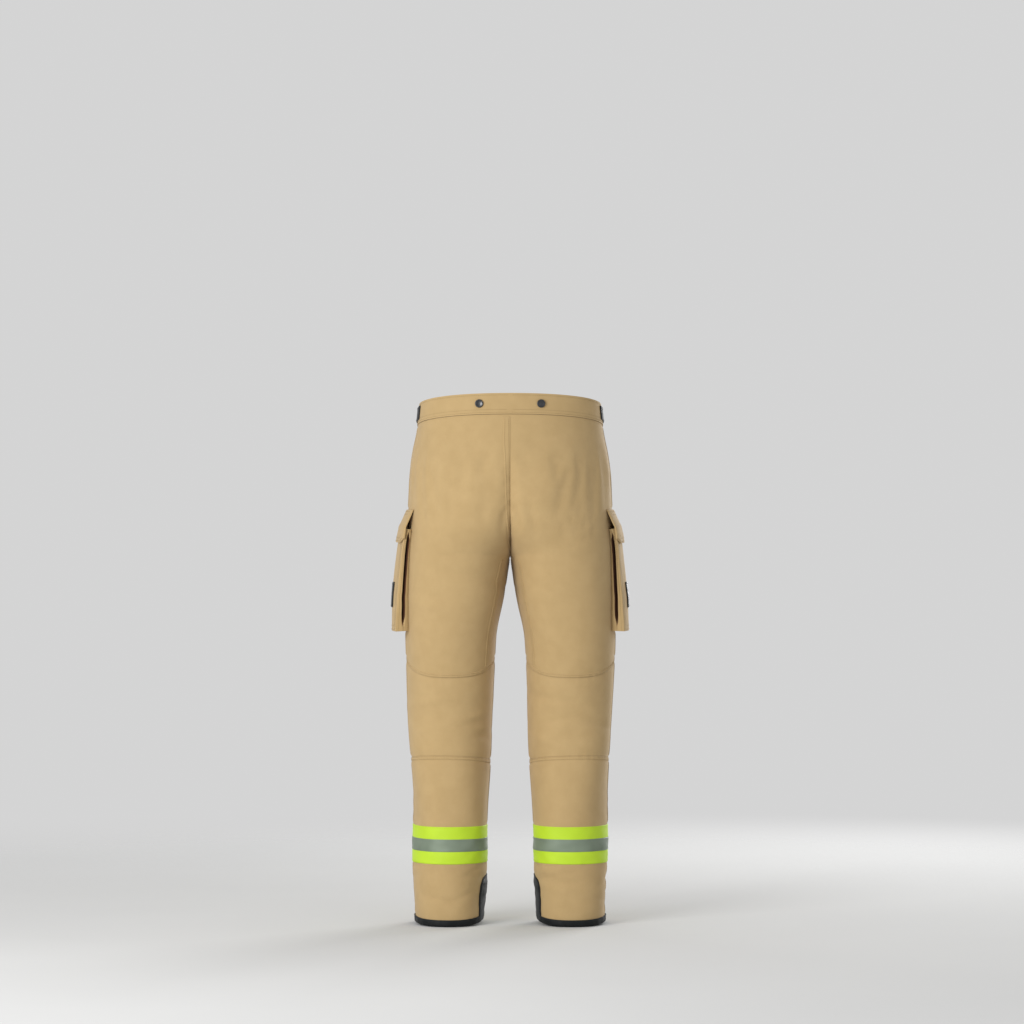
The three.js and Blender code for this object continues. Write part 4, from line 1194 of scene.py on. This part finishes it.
# ---------------------------------------------------------------- waist and fly
def waistband(skins, looks):
    band = Piece("waist_facing_and_band")
    for _, side in SIDES:
        skin = skins[side]
        ends = (lambda t: skin.band(t, 0.2), lambda t: skin.band(t, BAND_TALL))
        patch(band, skin, (0.0, 1.0), ends, LINER_IN - 0.3, 1.5, looks["cloth"], step=4, soft=False)
        turn = np.linspace(0.002, 0.998, 420)
        for above in (3.5, 9, BAND_TALL - 4):
            band.sew(skin, turn, skin.band(turn, above), 1.6, looks["thread"])
    set_on(band, "shell_cloth", "seat", "waistband")


def waist_tab(skin, word, looks):
    tab = Piece(f"{word}_waist_adjuster_strap")
    level = WAIST + BAND_TALL / 2.0
    across = [float(turn_of(np.array(a), np.array(level))) for a in (math.pi - 0.62, math.pi + 0.22)]
    ends = (lambda t: skin.band(t, 7), lambda t: skin.band(t, BAND_TALL - 7))
    patch(tab, skin, across, ends, 1.95, 4.3, looks["webbing"], step=3)
    turn = np.linspace(across[0] + 0.008, across[1] - 0.008, 90)
    for above in (9.5, BAND_TALL - 9.5):
        tab.sew(skin, turn, skin.band(turn, above), 4.4, looks["black_thread"])
    set_on(tab, "black_webbing", f"{word}_waist_adjuster", f"{word}_waist_tab")


def turned(piece, outline, centre, axis, finish, count=36):
    """A round piece: an outline of radius and height, turned about an axis."""
    axis = np.asarray(axis, float) / np.linalg.norm(axis)
    first = np.cross(axis, [0, 0, 1.0])
    first /= np.linalg.norm(first)
    second = np.cross(axis, first)
    angle = np.arange(count) * 2 * math.pi / count
    spoke = np.cos(angle)[:, None] * first + np.sin(angle)[:, None] * second
    rows = [np.asarray(centre) + r * spoke + h * axis for r, h in outline]
    points = np.concatenate(rows + [[np.asarray(centre) + outline[0][1] * axis]])
    points = np.concatenate([points, [np.asarray(centre) + outline[-1][1] * axis]])
    low, high = len(outline) * count, len(outline) * count + 1
    faces = []
    for k in range(count):
        n = (k + 1) % count
        faces += [(r * count + k, r * count + n, (r + 1) * count + n, (r + 1) * count + k)
                  for r in range(len(outline) - 1)]
        faces += [(low, n, k), (high, (len(outline) - 1) * count + k, (len(outline) - 1) * count + n)]
    piece.add(points, faces, finish)


# Radius and height of the button's outline, from its stem to the middle of its head.
BUTTON_OUTLINE = (
    (2.6, -2.8), (2.6, -0.4), (6.5, -0.5), (8.1, 0.1), (8.4, 0.9),
    (8.0, 1.9), (7.1, 2.3), (6.0, 1.9), (3.5, 1.4), (1.0, 1.3),
)
STUD_OUTLINE = ((7.4, 0), (7.5, 0.9), (7.0, 1.9), (5.4, 2.7), (4.6, 2.4), (3.6, 2.9), (1.2, 3.0))


def brace_button(node, looks):
    """A shank button: stem, rounded head with a raised rim and a dished middle."""
    low, high = node_box(node)
    centre = (low + high) / 2
    front = centre[1] < 0
    facing = np.array([0.0, -1.0, 0.0] if front else [0.0, 1.0, 0.0])
    lean = 0.28 if front else 0.12
    facing[0] = math.copysign(lean, centre[0])
    button = Piece(node.replace("brace_button", "shank_button"))
    turned(button, BUTTON_OUTLINE, centre, facing, looks["resin"])
    set_on(button, "button_resin", "seat", node)


def forward_sheet(piece, x, z, face, back, finish):
    """A sheet that faces forward, between two depths."""
    piece.sheet(np.stack([x, face + 0 * x, z], -1), np.stack([x, back + 0 * x, z], -1), finish)


def flat_strip(name, node, body, looks, corner=0, rows_of_stitches=True):
    """A flat cloth piece with rounded edges that fills a node's box and faces forward."""
    piece = Piece(name)
    low, high = node_box(node)
    thick = high[1] - low[1]
    grid_u, grid_v, rise = soft_grid(high[0] - low[0], high[2] - low[2], 3, edge=1.0)
    cut = corner * (1 - smooth(grid_u, 0, 0.4)) * (1 - grid_v)
    x = low[0] + (high[0] - low[0]) * grid_u
    z = low[2] + (high[2] - low[2]) * grid_v + cut
    forward_sheet(piece, x, z, high[1] - thick * rise, high[1], looks["cloth"])
    if rows_of_stitches:
        for inset in (3.0, 8.0):
            up = np.linspace(low[2] + inset + corner, high[2] - inset, 90)
            for x_at in (low[0] + inset, high[0] - inset):
                line = np.stack([np.full(90, x_at), np.full(90, low[1] - 0.05), up], -1)
                piece.stitches(line, np.tile([0.0, -1.0, 0.0], (90, 1)), looks["thread"])
    set_on(piece, "shell_cloth", body, node)


def fly(looks):
    flat_strip("fly_cover_flap", "fly_placket", "placket", looks, corner=10)
    flat_strip("fly_stand", "fly_facing", "seat", looks, rows_of_stitches=False)
    flat_strip("waist_fastening_tab", "waist_closure_tab", "closure", looks)

    low, high = node_box("press_stud_cap")
    stud = Piece("press_stud_head")
    centre = np.array([(low[0] + high[0]) / 2, high[1], (low[2] + high[2]) / 2])
    turned(stud, STUD_OUTLINE, centre, (0, -1, 0), looks["brass"])
    set_on(stud, "brass_metal", "closure", "press_stud_cap")

    low, high = node_box("fly_zip")
    zip_piece = Piece("fly_zip_fastener")
    teeth_back = high[1] - 3.0
    for x0, x1 in ((low[0], -0.6), (0.6, high[0])):
        grid_x, grid_z = np.meshgrid(np.linspace(x0, x1, 8), np.linspace(low[2], high[2], 40))
        forward_sheet(zip_piece, grid_x, grid_z, teeth_back, high[1], looks["webbing"])
    pitch = 3.2
    for k in range(int((high[2] - low[2] - 8) / pitch)):
        for way in (-1, 1):
            level = low[2] + 5 + pitch * (k + (0.5 if way > 0 else 0))
            tooth = np.linspace(-0.7, 2.9, 4) * way
            grid_x, grid_z = np.meshgrid(tooth, np.linspace(level, level + 1.9, 3))
            crown = 0.5 * np.sin(math.pi * np.linspace(0, 1, 4))[None, :] + 0 * grid_x
            forward_sheet(zip_piece, grid_x, grid_z, low[1] + 0.5 - crown, teeth_back, looks["resin"])
    set_on(zip_piece, "zip_cloth", "seat", "fly_zip")

    low, high = node_box("zip_slider")
    slider = Piece("zip_slider_and_pull")
    grid_u, grid_v, rise = soft_grid(high[0] - low[0], high[2] - low[2], 1.2, edge=1.6)
    waisted = 1 - 0.22 * np.sin(math.pi * grid_v) ** 2
    x = (2 * grid_u - 1) * (high[0] - low[0]) / 2 * waisted
    z = low[2] + (high[2] - low[2]) * grid_v
    forward_sheet(slider, x, z, high[1] - 1.9 * rise, high[1], looks["brass"])
    x = (2 * grid_u - 1) * 2.6
    z = low[2] - 3 + 13 * grid_v
    forward_sheet(slider, x, z, high[1] - 2.1 - 0.8 * rise, high[1] - 2.1, looks["brass"])
    set_on(slider, "brass_metal", "slider", "zip_slider")


# ---------------------------------------------------------------- assembly
make_camera()
make_studio()
looks = {
    "cloth": aramid_shell(),
    "pleat": painted_pleat_shadow(),
    "thread": thread_darkened_as_seam_shade(),
    "black_thread": black_thread(),
    "quilt": quilted_liner(),
    "coated": coated_aramid(),
    "lime": fluorescent_trim(),
    "silver": silver_trim(),
    "webbing": black_webbing(),
    "foam": closed_cell_foam(),
    "brass": antique_brass(),
    "resin": button_resin(),
}
moved, moved_heights = drape()
row = moved_heights[1] - moved_heights[0]
skins = {side: Skin(side, moved[k], row) for k, (_, side) in enumerate(SIDES)}
for word, side in SIDES:
    skin = skins[side]
    shell(skin, side, word, looks)
    liner(skin, side, word, looks)
    knee_armour(skin, word, looks)
    trim(skin, word, looks)
    hem(skin, word, looks)
    kick_guard(skin, word, looks)
    pocket(skin, word, looks)
    waist_tab(skin, word, looks)
    brace_button(f"{word}_front_brace_button", looks)
    brace_button(f"{word}_back_brace_button", looks)
waistband(skins, looks)
fly(looks)
